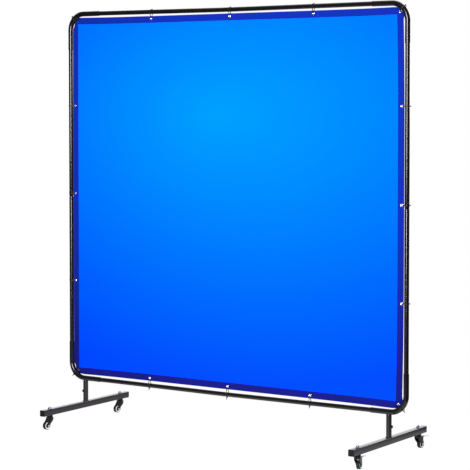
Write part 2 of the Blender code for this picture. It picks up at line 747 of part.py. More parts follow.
def fork_mesh(braked):
    """Swivel fork: a round crown with two curved arms, bored for the kingpin and the axle."""
    crown = lathe_mesh([
        (0.0, CROWN_BOTTOM),
        (CROWN_RADIUS, CROWN_BOTTOM),
        (CROWN_RADIUS, CROWN_TOP - 0.002),
        (CROWN_RADIUS - 0.002, CROWN_TOP),
        (0.0, CROWN_TOP),
    ], 20)
    steps = []
    outline = arm_outline(braked)
    for sign in (-1, 1):
        faces = sorted((sign * ARM_INSIDE, sign * (ARM_INSIDE + ARM_THICKNESS)))
        steps.append(("UNION", plate_mesh(outline, *faces)))
    bore = cylinder_mesh(KINGPIN_RADIUS + 0.0006, (0, 0, 0.04), (0, 0, 0.08), 12)
    axle_hole = cylinder_mesh(AXLE_HOLE_RADIUS, (TRAIL, -0.03, WHEEL_RADIUS), (TRAIL, 0.03, WHEEL_RADIUS), 12)
    steps += [("DIFFERENCE", bore), ("DIFFERENCE", axle_hole)]
    if braked:
        pivot_hole = cylinder_mesh(
            PIVOT_HOLE_RADIUS, (PIVOT[0], -0.03, PIVOT[1]), (PIVOT[0], 0.03, PIVOT[1]), 12)
        steps.append(("DIFFERENCE", pivot_hole))
    return combine(crown, steps)


def axle_mesh():
    """Axle rivet along Y, with a head outside each arm."""
    outside = ARM_INSIDE + ARM_THICKNESS + FIT_GAP
    head_radius = 0.0048
    half = [
        (AXLE_RADIUS, outside),
        (head_radius, outside),
        (head_radius - 0.001, outside + 0.0016),
        (0.0, outside + 0.0016),
    ]
    outline = half + [(radius, -z) for radius, z in reversed(half)]
    return moved(lathe_mesh(outline, 12), Matrix.Rotation(-math.pi / 2, 4, "X"))


def wheel_mesh():
    """Wheel about its own axle: hub, recessed web, rim and moulded tread."""
    bore = AXLE_HOLE_RADIUS
    half = [
        (bore, WHEEL_HALF_WIDTH - 0.0005),
        (0.0065, WHEEL_HALF_WIDTH - 0.0005),
        (0.0072, 0.0055),
        (0.0128, 0.0055),
        (0.0142, WHEEL_HALF_WIDTH),
        (0.0185, WHEEL_HALF_WIDTH),
        (WHEEL_RADIUS, WHEEL_HALF_WIDTH - 0.003),
    ]
    outline = half + [(radius, -z) for radius, z in reversed(half)]
    return moved(lathe_mesh(outline, WHEEL_STEPS), Matrix.Rotation(-math.pi / 2, 4, "X"))


def pedal_mesh():
    """Brake pedal about its pivot: a long plate with a turned-down tip, and a shoe below."""
    x, z = PIVOT
    plate = plate_mesh([
        (0.0178 - x, 0.0515 - z),
        (0.0700 - x, 0.0515 - z),
        (0.0765 - x, 0.0492 - z),
        (0.0800 - x, 0.0455 - z),
        (0.0815 - x, 0.0462 - z),
        (0.0778 - x, 0.0508 - z),
        (0.0706 - x, 0.0534 - z),
        (0.0178 - x, 0.0534 - z),
    ], -0.011, 0.011)
    notches = []
    for sign in (-1, 1):
        low, high = sorted((sign * 0.0088, sign * 0.02))
        notches.append(("DIFFERENCE", box_mesh((-0.02, low, -0.02), (0.033 - x, high, 0.02))))
    plate = combine(plate, notches)
    shoe = plate_mesh([
        (0.0180 - x, 0.0480 - z),
        (0.0275 - x, 0.0415 - z),
        (0.0302 - x, 0.0425 - z),
        (0.0320 - x, 0.0525 - z),
        (0.0180 - x, 0.0525 - z),
    ], -0.0085, 0.0085)
    pins = cylinder_mesh(PIVOT_RADIUS, (0, -0.0122, 0), (0, 0.0122, 0), 12)
    return combine(shoe, [("UNION", plate), ("UNION", pins)])


def build_casters(materials):
    """Four casters, each hung from an empty on its swivel axis."""
    stem = stem_mesh()
    nut = nut_mesh()
    axle = axle_mesh()
    wheel = wheel_mesh()
    pedal = pedal_mesh()
    forks = {braked: fork_mesh(braked) for braked in (False, True)}
    for name, side, end, trail_angle, braked in CASTERS:
        place = Vector((side * POST_X, end * STEM_Y, 0))
        add_object(f"caster_stem_{name}", stem, materials["zinc"], place)
        add_object(f"caster_nut_{name}", nut, materials["zinc"], place)
        swivel = bpy.data.objects.new(f"swivel_{name}", None)
        bpy.context.scene.collection.objects.link(swivel)
        swivel.location = place
        swivel.rotation_euler = (0, 0, math.radians(trail_angle))
        hub = (TRAIL, 0, WHEEL_RADIUS)
        add_object(f"caster_fork_{name}", forks[braked], materials["fork"], parent=swivel)
        add_object(f"caster_axle_{name}", axle, materials["zinc"], hub, parent=swivel)
        add_object(f"caster_wheel_{name}", wheel, materials["wheel"], hub, parent=swivel)
        if braked:
            pivot = (PIVOT[0], 0, PIVOT[1])
            add_object(f"brake_pedal_{name}", pedal, materials["zinc"], pivot, parent=swivel)


def main():
    """Build the whole screen."""
    clear_scene()
    materials = make_materials()
    build_corners(materials)
    build_tubes(materials)
    build_bases(materials)
    build_curtain(materials)
    build_ties(materials)
    build_casters(materials)
    bpy.context.view_layer.update()


main()
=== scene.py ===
"""Looks of a welding curtain screen: a tinted PVC curtain laced into a tube frame on casters.

Every class here is one sub-assembly. It holds its sizes in metres, builds its meshes in the same
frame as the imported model, and dresses them in finishes named for the real ones.
"""

import json
import logging
import math
from dataclasses import dataclass, field
from enum import Enum
from typing import Iterable, Sequence

import bmesh
import bpy
from mathutils import Matrix, Vector


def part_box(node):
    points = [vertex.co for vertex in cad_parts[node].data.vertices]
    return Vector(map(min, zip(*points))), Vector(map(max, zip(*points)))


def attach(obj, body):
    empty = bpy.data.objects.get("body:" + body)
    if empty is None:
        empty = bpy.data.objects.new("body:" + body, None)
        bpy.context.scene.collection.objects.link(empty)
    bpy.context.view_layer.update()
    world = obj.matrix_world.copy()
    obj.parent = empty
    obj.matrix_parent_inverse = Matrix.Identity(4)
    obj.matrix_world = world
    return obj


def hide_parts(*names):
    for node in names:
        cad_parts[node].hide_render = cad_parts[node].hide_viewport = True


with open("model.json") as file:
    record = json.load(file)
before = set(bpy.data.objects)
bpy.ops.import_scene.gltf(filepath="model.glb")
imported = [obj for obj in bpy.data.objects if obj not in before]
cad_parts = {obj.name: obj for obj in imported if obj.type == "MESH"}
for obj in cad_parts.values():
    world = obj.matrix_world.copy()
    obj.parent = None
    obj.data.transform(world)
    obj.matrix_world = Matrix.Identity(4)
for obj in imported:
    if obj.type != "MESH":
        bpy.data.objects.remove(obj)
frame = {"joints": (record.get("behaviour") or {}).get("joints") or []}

LOG = logging.getLogger("welding_screen")

Place = tuple[float, float]
Colour = tuple[float, float, float, float]
Ring = list[bmesh.types.BMVert]


# ---------------------------------------------------------------- node trees and finishes

def linear(code: str) -> Colour:
    """Turn an sRGB hex colour to linear light.

    Args:
        code: six hex digits, such as "1a2b3c".

    Returns:
        Red, green, blue and an alpha of 1.
    """
    parts = [int(code[place:place + 2], 16) / 255 for place in (0, 2, 4)]
    light = [part / 12.92 if part <= 0.04045 else ((part + 0.055) / 1.055) ** 2.4 for part in parts]
    return (light[0], light[1], light[2], 1.0)


def mixed(first: str, second: str, share: float) -> str:
    """Mix two sRGB hex colours.

    Args:
        first: six hex digits.
        second: six hex digits.
        share: how far the mix is from the first, 0 to 1.

    Returns:
        The mix, as six hex digits.
    """
    parts = [(int(first[place:place + 2], 16), int(second[place:place + 2], 16)) for place in (0, 2, 4)]
    return "".join(f"{round(start + (end - start) * share):02x}" for start, end in parts)


def add_node(
    tree: bpy.types.NodeTree,
    kind: str,
    values: dict | None = None,
    links: dict | None = None,
    **settings: object,
) -> bpy.types.Node:
    """Add a node with its settings, socket values and links.

    Args:
        tree: the tree that gets the node.
        kind: the node's type, such as "ShaderNodeTexNoise".
        values: socket name or number to its value.
        links: socket name or number to the output socket that feeds it.
        **settings: the node's own properties.

    Returns:
        The new node.
    """
    node = tree.nodes.new(kind)
    for name, value in settings.items():
        setattr(node, name, value)
    for key, value in (values or {}).items():
        node.inputs[key].default_value = value
    for key, source in (links or {}).items():
        tree.links.new(source, node.inputs[key])
    return node


@dataclass(frozen=True)
class Finish:
    """A finish whose colour drifts a little and whose surface has a fine grain."""

    name: str
    slot: str
    colour: str
    drift_and_edge_shade: str
    roughness: float
    metallic: float = 0.0
    specular: float = 0.5
    coat: float = 0.0
    sheen: str = "ffffff"
    drift_mm: float = 60.0
    grain_mm: float = 1.0
    grain_depth_mm: float = 0.02
    stretch: tuple[float, float, float] = (1.0, 1.0, 1.0)
    coat_roughness: float = 0.12
    grain_strength: float = 0.5

    def build(self) -> bpy.types.Material:
        """Build the material.

        Returns:
            A Principled material on object coordinates.
        """
        material = bpy.data.materials.new(self.name)
        material.use_nodes = True
        tree = material.node_tree
        shader = tree.nodes["Principled BSDF"]
        place = add_node(tree, "ShaderNodeTexCoord").outputs["Object"]
        base = self.colour_nodes(tree, place)
        tree.links.new(base, shader.inputs["Base Color"])
        shader.inputs["Roughness"].default_value = self.roughness
        shader.inputs["Metallic"].default_value = self.metallic
        if not self.metallic:
            shader.inputs["Specular IOR Level"].default_value = self.specular
            shader.inputs["Specular Tint"].default_value = linear(self.sheen)
        shader.inputs["Coat Weight"].default_value = self.coat
        shader.inputs["Coat Roughness"].default_value = self.coat_roughness
        turned = add_node(
            tree, "ShaderNodeMapping", {"Scale": self.stretch}, {"Vector": place})
        grain = add_node(
            tree, "ShaderNodeTexNoise",
            {"Scale": 1000 / self.grain_mm, "Detail": 3.0, "Roughness": 0.55},
            {"Vector": turned.outputs["Vector"]})
        bump = add_node(
            tree, "ShaderNodeBump",
            {"Strength": self.grain_strength, "Distance": self.grain_depth_mm / 1000},
            {"Height": grain.outputs["Fac"]})
        tree.links.new(bump.outputs["Normal"], shader.inputs["Normal"])
        return material

    def colour_nodes(self, tree: bpy.types.NodeTree, place: bpy.types.NodeSocket) -> bpy.types.NodeSocket:
        """Blend the colour with the second colour in soft patches of random tone.

        Args:
            tree: the material's tree.
            place: object coordinates.

        Returns:
            The colour's socket.
        """
        patches = add_node(
            tree, "ShaderNodeTexNoise", {"Scale": 1000 / self.drift_mm, "Detail": 2.0}, {"Vector": place})
        ramp = add_node(tree, "ShaderNodeValToRGB", links={"Fac": patches.outputs["Fac"]})
        ramp.color_ramp.elements[0].position = 0.35
        ramp.color_ramp.elements[0].color = linear(self.colour)
        ramp.color_ramp.elements[1].position = 0.65
        ramp.color_ramp.elements[1].color = linear(self.drift_and_edge_shade)
        return ramp.outputs["Color"]


@dataclass(frozen=True)
class TintedFilm(Finish):
    """Calendered PVC film with painted light in its colour: a painted pool of light above its middle that
    fades to a deeper painted shade at the edges.
    """

    # The painted pool of light: its centre, its reach on each axis, how fast it fades and how many steps
    # grade it.
    painted_light_centre: tuple[float, float, float] = (-0.07, 0.0, 1.556)
    painted_light_reach: tuple[float, float, float] = (2.35, 1.0, 1.289)
    painted_light_fall: float = 1.0
    painted_light_steps: int = 10

    def colour_nodes(self, tree: bpy.types.NodeTree, place: bpy.types.NodeSocket) -> bpy.types.NodeSocket:
        """Paint light into the tint: from the lit colour at the heart of the painted pool of light to the
        painted shade at its edges.

        Args:
            tree: the material's tree.
            place: object coordinates.

        Returns:
            The colour's socket.
        """
        offset = add_node(
            tree, "ShaderNodeVectorMath", {1: self.painted_light_centre}, {0: place}, operation="SUBTRACT")
        scaled = add_node(
            tree, "ShaderNodeVectorMath", {1: self.painted_light_reach}, {0: offset.outputs[0]}, operation="DIVIDE")
        flat = add_node(
            tree, "ShaderNodeVectorMath", {1: (1.0, 0.0, 1.0)}, {0: scaled.outputs[0]}, operation="MULTIPLY")
        distance = add_node(tree, "ShaderNodeVectorMath", links={0: flat.outputs[0]}, operation="LENGTH")
        ramp = add_node(tree, "ShaderNodeValToRGB", links={"Fac": distance.outputs["Value"]})
        ramp.color_ramp.interpolation = "LINEAR"
        elements = ramp.color_ramp.elements
        # The lit colour at the heart of the painted light, and the painted shade colour at the edges.
        elements[0].color = linear(self.colour)
        elements[1].color = linear(self.drift_and_edge_shade)
        for step in range(1, self.painted_light_steps):
            share = step / self.painted_light_steps
            elements.new(share).color = linear(mixed(self.colour, self.drift_and_edge_shade, share ** self.painted_light_fall))
        return ramp.outputs["Color"]


class Coat(Enum):
    """Every finish on the screen."""

    # Polyester powder coat on steel, oven cured: satin black with a fine orange peel.
    POWDER = Finish(
        "powder_coated_steel", "black_steel", "0c0b0c", "100f10", 0.19, specular=0.4, coat=0.1,
        grain_mm=1.6, grain_depth_mm=0.03)
    # The same black coat seen on the flat bars, with a glossier skin. Its colour is painted lighter than the
    # tubes' coat, a lit copy that stands in for the light on the bars' faces.
    BAR_POWDER = Finish(
        "powder_coated_bar", "black_steel", "1f1b20", "241f25", 0.26, specular=0.28,
        grain_mm=1.6, grain_depth_mm=0.02)
    # Calendered PVC film, see-through blue, polished by its rollers. Its colour carries a painted pool of
    # light above the middle, darker towards the edges.
    FILM = TintedFilm(
        "tinted_pvc_film", "curtain_film", "007fff", "003aff", 0.38, specular=0.06, sheen="0040ff",
        grain_mm=9.0, grain_depth_mm=0.05, painted_light_fall=1.15)
    # Two or three layers of the same film, heat-sealed: less light gets through, so its own colour is deeper.
    # The same painted pool of light grades it, darker towards the edges.
    HEM = TintedFilm(
        "sealed_pvc_hem", "curtain_film", "0e2a9c", "12166c", 0.42, specular=0.08, sheen="1020ff",
        grain_mm=3.0, grain_depth_mm=0.08, painted_light_fall=2.4)
    # Polyester sewing thread, dyed navy and twisted.
    THREAD = Finish(
        "navy_polyester_thread", "curtain_film", "101c78", "18268c", 0.7, specular=0.2, grain_mm=0.4)
    # Nickel-plated brass eyelet, pressed and tumbled bright.
    EYELET = Finish(
        "nickel_plated_brass", "zinc_steel", "f2f0ec", "e6e4e0", 0.24, metallic=1.0, grain_mm=0.8,
        grain_depth_mm=0.01)
    # Moulded nylon 6.6, weather-proof black.
    NYLON = Finish(
        "black_nylon", "tie_nylon", "111114", "17171b", 0.42, specular=0.3, grain_mm=0.5)
    # Injection-moulded polyethylene with a spark-eroded matt grain.
    PLUG = Finish(
        "black_polyethylene", "cap_plastic", "050505", "080808", 0.5, specular=0.2, grain_mm=0.7,
        grain_depth_mm=0.03)
    # Bright zinc plating on pressed steel, passivated faintly blue.
    ZINC = Finish(
        "bright_zinc_plate", "zinc_steel", "c9ccd2", "b4b7bd", 0.30, metallic=1.0, drift_mm=8.0,
        grain_mm=0.6, grain_depth_mm=0.01)
    # Pressed steel, dipped in gloss black enamel.
    ENAMEL = Finish(
        "gloss_black_enamel", "fork_steel", "050506", "090909", 0.18, specular=0.22,
        grain_mm=2.0, grain_depth_mm=0.01)
    # Polypropylene rim, moulded pale grey.
    RIM = Finish(
        "grey_polypropylene", "wheel_plastic", "f6f4f6", "ecebee", 0.38, specular=0.5, grain_mm=0.8)
    # Polypropylene hub inside the rim, moulded dark.
    CORE = Finish(
        "dark_polypropylene", "wheel_plastic", "141316", "19181b", 0.42, specular=0.25, grain_mm=0.8)
    # Thermoplastic rubber tread, matt and dusted by the floor.
    TREAD = Finish(
        "black_rubber_tread", "wheel_plastic", "131112", "1b1819", 0.62, specular=0.15, drift_mm=7.0,
        grain_mm=0.9, grain_depth_mm=0.05)


@dataclass
class Paintbox:
    """Builds each finish once, when it is first asked for."""

    made: dict[Coat, bpy.types.Material] = field(default_factory=dict)

    def get(self, coat: Coat) -> bpy.types.Material:
        """Give the material of a finish.

        Args:
            coat: the finish.

        Returns:
            Its material.
        """
        if coat not in self.made:
            self.made[coat] = coat.value.build()
        return self.made[coat]


PAINTS = Paintbox()


# ---------------------------------------------------------------- mesh tools

def bridge(mesh: bmesh.types.BMesh, first: Ring, second: Ring, closed: bool = True) -> None:
    """Join two rings of vertices with faces; a ring of one vertex is a pole.

    Args:
        mesh: the mesh that gets the faces.
        first: one ring.
        second: the other ring.
        closed: whether the rings run round.
    """
    if len(first) == 1 and len(second) == 1:
        return
    count = max(len(first), len(second))
    for step in range(count if closed else count - 1):
        after = (step + 1) % count
        corners = [first[step % len(first)], first[after % len(first)]]
        corners += [second[after % len(second)], second[step % len(second)]]
        mesh.faces.new(list(dict.fromkeys(corners)))


def turn(mesh: bmesh.types.BMesh, profile: Sequence[Place], sides: int, place: Matrix = Matrix()) -> None:
    """Add a closed body turned round Z.

    Args:
        mesh: the mesh that gets it.
        profile: closed outline of (radius, height) points; radius 0 is a pole.
        sides: facets round the axis.
        place: where the turned body goes.
    """
    rings: list[Ring] = []
    for radius, height in profile:
        if radius == 0.0:
            rings.append([mesh.verts.new(place @ Vector((0, 0, height)))])
            continue
        ring = []
        for step in range(sides):
            angle = 2 * math.pi * step / sides
            spot = Vector((radius * math.cos(angle), radius * math.sin(angle), height))
            ring.append(mesh.verts.new(place @ spot))
        rings.append(ring)
    for first, second in zip(rings, rings[1:] + rings[:1]):
        bridge(mesh, first, second)


def prism(mesh: bmesh.types.BMesh, outline: Sequence[Place], low: float, high: float, place: Matrix) -> None:
    """Add an outline in X and Z, thick along Y.

    Args:
        mesh: the mesh that gets it.
        outline: its corners in order.
        low: where it starts along Y.
        high: where it ends along Y.
        place: where the prism goes.
    """
    near = [mesh.verts.new(place @ Vector((x, low, z))) for x, z in outline]
    far = [mesh.verts.new(place @ Vector((x, high, z))) for x, z in outline]
    bridge(mesh, near, far)
    mesh.faces.new(near)
    mesh.faces.new(far)


def rounded(width: float, height: float, radius: float, steps: int = 4) -> list[Place]:
    """Outline of a rectangle with round corners, centred on zero.

    Args:
        width: its full width.
        height: its full height.
        radius: its corners' radius.
        steps: facets in each corner.

    Returns:
        Its points in order.
    """
    points = []
    for quarter, (across, up) in enumerate(((1, 1), (-1, 1), (-1, -1), (1, -1))):
        centre = (across * (width / 2 - radius), up * (height / 2 - radius))
        for step in range(steps + 1):
            angle = math.pi / 2 * (quarter + step / steps)
            points.append((centre[0] + radius * math.cos(angle), centre[1] + radius * math.sin(angle)))
    return points


def arc(centre: Place, radius: float, start: float, end: float, steps: int) -> list[Place]:
    """Points of an arc.

    Args:
        centre: its centre.
        radius: its radius.
        start: its first angle, in degrees.
        end: its last angle, in degrees.
        steps: how many chords it has.

    Returns:
        Its points in order.
    """
    angles = [math.radians(start + (end - start) * step / steps) for step in range(steps + 1)]
    return [(centre[0] + radius * math.cos(a), centre[1] + radius * math.sin(a)) for a in angles]


def smooth(value: float) -> float:
    """Ease from 0 to 1 as value goes from 0 to 1."""
    value = min(max(value, 0.0), 1.0)
    return value * value * (3 - 2 * value)


def baked(piece: bpy.types.Object) -> bpy.types.Object:
    """Put a piece's modifiers into its mesh.

    Args:
        piece: the piece.

    Returns:
        The same piece, with a plain mesh and no modifier.
    """
    evaluated = piece.evaluated_get(bpy.context.evaluated_depsgraph_get())
    mesh = bpy.data.meshes.new_from_object(evaluated)
    piece.modifiers.clear()
    piece.data = mesh
    return piece


@dataclass(frozen=True)
class Edge:
    """How a piece's sharp edges are softened, in metres."""

    width: float
    segments: int = 2
    sharper_than: float = 35.0


def make_piece(
    name: str,
    mesh: bmesh.types.BMesh,
    coat: Coat,
    body: str,
    stands_for: Iterable[str] = (),
    edge: Edge | None = None,
    crease: float = 40.0,
) -> bpy.types.Object:
    """Finish a piece: weld it, face it outwards, dress it and hang it on its body.

    Args:
        name: the piece's name.
        mesh: its mesh, in place; it is freed here.
        coat: its finish.
        body: the body it rides on.
        stands_for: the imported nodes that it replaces.
        edge: how its sharp edges are softened.
        crease: edges sharper than this many degrees stay sharp in the shading.

    Returns:
        The piece.
    """
    bmesh.ops.remove_doubles(mesh, verts=mesh.verts[:], dist=1e-6)
    bmesh.ops.recalc_face_normals(mesh, faces=mesh.faces[:])
    data = bpy.data.meshes.new(name)
    mesh.to_mesh(data)
    mesh.free()
    piece = bpy.data.objects.new(name, data)
    bpy.context.scene.collection.objects.link(piece)
    if edge is not None:
        bevel = piece.modifiers.new("edge", "BEVEL")
        bevel.width = edge.width
        bevel.segments = edge.segments
        bevel.limit_method = "ANGLE"
        bevel.angle_limit = math.radians(edge.sharper_than)
        baked(piece)
    return dress(piece, coat, body, stands_for, crease)


def dress(
    piece: bpy.types.Object,
    coat: Coat,
    body: str,
    stands_for: Iterable[str] = (),
    crease: float = 40.0,
) -> bpy.types.Object:
    """Shade a piece, give it its finish and hang it on its body.

    Args:
        piece: the piece.
        coat: its finish.
        body: the body it rides on.
        stands_for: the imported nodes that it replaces.
        crease: edges sharper than this many degrees stay sharp in the shading.

    Returns:
        The piece.
    """
    piece.data.materials.clear()
    piece.data.materials.append(PAINTS.get(coat))
    piece.data.shade_smooth()
    piece.data.set_sharp_from_angle(angle=math.radians(crease))
    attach(piece, body)
    if stands_for:
        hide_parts(*stands_for)
    LOG.info("%s: %d faces, %s, on %s", piece.name, len(piece.data.polygons), coat.value.name, body)
    return piece


# ---------------------------------------------------------------- repeats by Geometry Nodes

class Repeat:
    """A Geometry Nodes tree that puts one small body on every point of a guide.

    The guide is a mesh of loose points. Each point holds two vectors: "out", which the body's Z
    axis follows, and "along", which its X axis follows.
    """

    def __init__(self, name: str, material: bpy.types.Material) -> None:
        """Start the tree.

        Args:
            name: the tree's name.
            material: what the bodies are made of.
        """
        self.tree = bpy.data.node_groups.new(name, "GeometryNodeTree")
        face = self.tree.interface
        face.new_socket("Geometry", in_out="INPUT", socket_type="NodeSocketGeometry")
        self.unit = face.new_socket("Unit", in_out="INPUT", socket_type="NodeSocketObject")
        self.size = face.new_socket("Size", in_out="INPUT", socket_type="NodeSocketFloat")
        face.new_socket("Geometry", in_out="OUTPUT", socket_type="NodeSocketGeometry")
        source = add_node(self.tree, "NodeGroupInput")
        out = self.vector("out")
        along = self.vector("along")
        upright = add_node(
            self.tree, "FunctionNodeAlignRotationToVector", links={"Vector": out}, axis="Z")
        turned = add_node(
            self.tree, "FunctionNodeAlignRotationToVector",
            links={"Rotation": upright.outputs["Rotation"], "Vector": along}, axis="X", pivot_axis="Z")
        unit = add_node(self.tree, "GeometryNodeObjectInfo", links={"Object": source.outputs["Unit"]})
        placed = add_node(
            self.tree, "GeometryNodeInstanceOnPoints",
            links={
                "Points": source.outputs["Geometry"],
                "Instance": unit.outputs["Geometry"],
                "Rotation": turned.outputs["Rotation"],
                "Scale": source.outputs["Size"],
            })
        real = add_node(
            self.tree, "GeometryNodeRealizeInstances", links={"Geometry": placed.outputs["Instances"]})
        painted = add_node(
            self.tree, "GeometryNodeSetMaterial", {"Material": material},
            {"Geometry": real.outputs["Geometry"]})
        add_node(self.tree, "NodeGroupOutput", links={"Geometry": painted.outputs["Geometry"]})

    def vector(self, name: str) -> bpy.types.NodeSocket:
        """Read one of the guide's vectors."""
        reader = add_node(
            self.tree, "GeometryNodeInputNamedAttribute", {"Name": name}, data_type="FLOAT_VECTOR")
        return reader.outputs["Attribute"]

    def make(
        self,
        name: str,
        unit: bmesh.types.BMesh,
        places: Sequence[tuple[Vector, Vector, Vector]],
    ) -> bpy.types.Object:
        """Repeat a body over places.

        Args:
            name: the new piece's name.
            unit: the body at the origin; it is freed here.
            places: the point, the outward vector and the along vector of each copy.

        Returns:
            A piece with a plain mesh of all the copies.
        """
        bmesh.ops.recalc_face_normals(unit, faces=unit.faces[:])
        data = bpy.data.meshes.new(name + "_unit")
        unit.to_mesh(data)
        unit.free()
        body = bpy.data.objects.new(name + "_unit", data)
        guide = bpy.data.meshes.new(name)
        guide.from_pydata([place[0] for place in places], [], [])
        for column, label in ((1, "out"), (2, "along")):
            layer = guide.attributes.new(label, "FLOAT_VECTOR", "POINT")
            for index, place in enumerate(places):
                layer.data[index].vector = place[column]
        piece = bpy.data.objects.new(name, guide)
        bpy.context.scene.collection.objects.link(piece)
        modifier = piece.modifiers.new("repeat", "NODES")
        modifier.node_group = self.tree
        modifier[self.unit.identifier] = body
        modifier[self.size.identifier] = 1.0
        baked(piece)
        bpy.data.objects.remove(body)
        return piece


# ---------------------------------------------------------------- the frame's own places

@dataclass
class Layout:
    """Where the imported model's main lines are, and the sizes that they share."""

    tube: float = 0.011
    wall: float = 0.0012
    bend_tube: float = 0.0127
    bend: float = 0.080
    leg: float = 0.180
    socket: float = 0.060
    sag: float = 0.0035
    joint_x: float = -0.020
    fit: float = 0.0003
    nut_height: float = 0.008
    stem_proud: float = 0.003
    half_width: float = 0.0
    top: float = 0.0
    bottom: float = 0.0
    post_x: float = 0.0
    bar_low: float = 0.0
    bar: float = 0.0

    def __post_init__(self) -> None:
        """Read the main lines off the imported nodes."""
        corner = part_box("corner_upper_right")[1]
        self.half_width = corner[0] - self.bend_tube
        self.top = corner[2] - self.bend_tube
        self.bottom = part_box("upright_right_lower")[0][2] - self.leg + self.socket
        low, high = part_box("end_cap_front_right")
        self.post_x = (low[0] + high[0]) / 2
        self.bar_low = low[2]
        self.bar = high[2] - low[2]

    @property
    def middle(self) -> float:
        """Height of the frame's middle."""
        return (self.top + self.bottom) / 2

    @property
    def half_height(self) -> float:
        """Half of the frame's height between centre lines."""
        return (self.top - self.bottom) / 2

    def level(self, height: float, x: float) -> Vector:
        """Centre of a level tube at x: it droops in a straight line towards its joint.

        Args:
            height: the centre line's height at the corners.
            x: the place along the tube.

        Returns:
            The point on the centre line.
        """
        mouth = self.half_width - self.leg
        reach = (mouth - abs(x)) / (mouth + self.joint_x)
        return Vector((x, 0, height - self.sag * reach))


# ---------------------------------------------------------------- tube frame

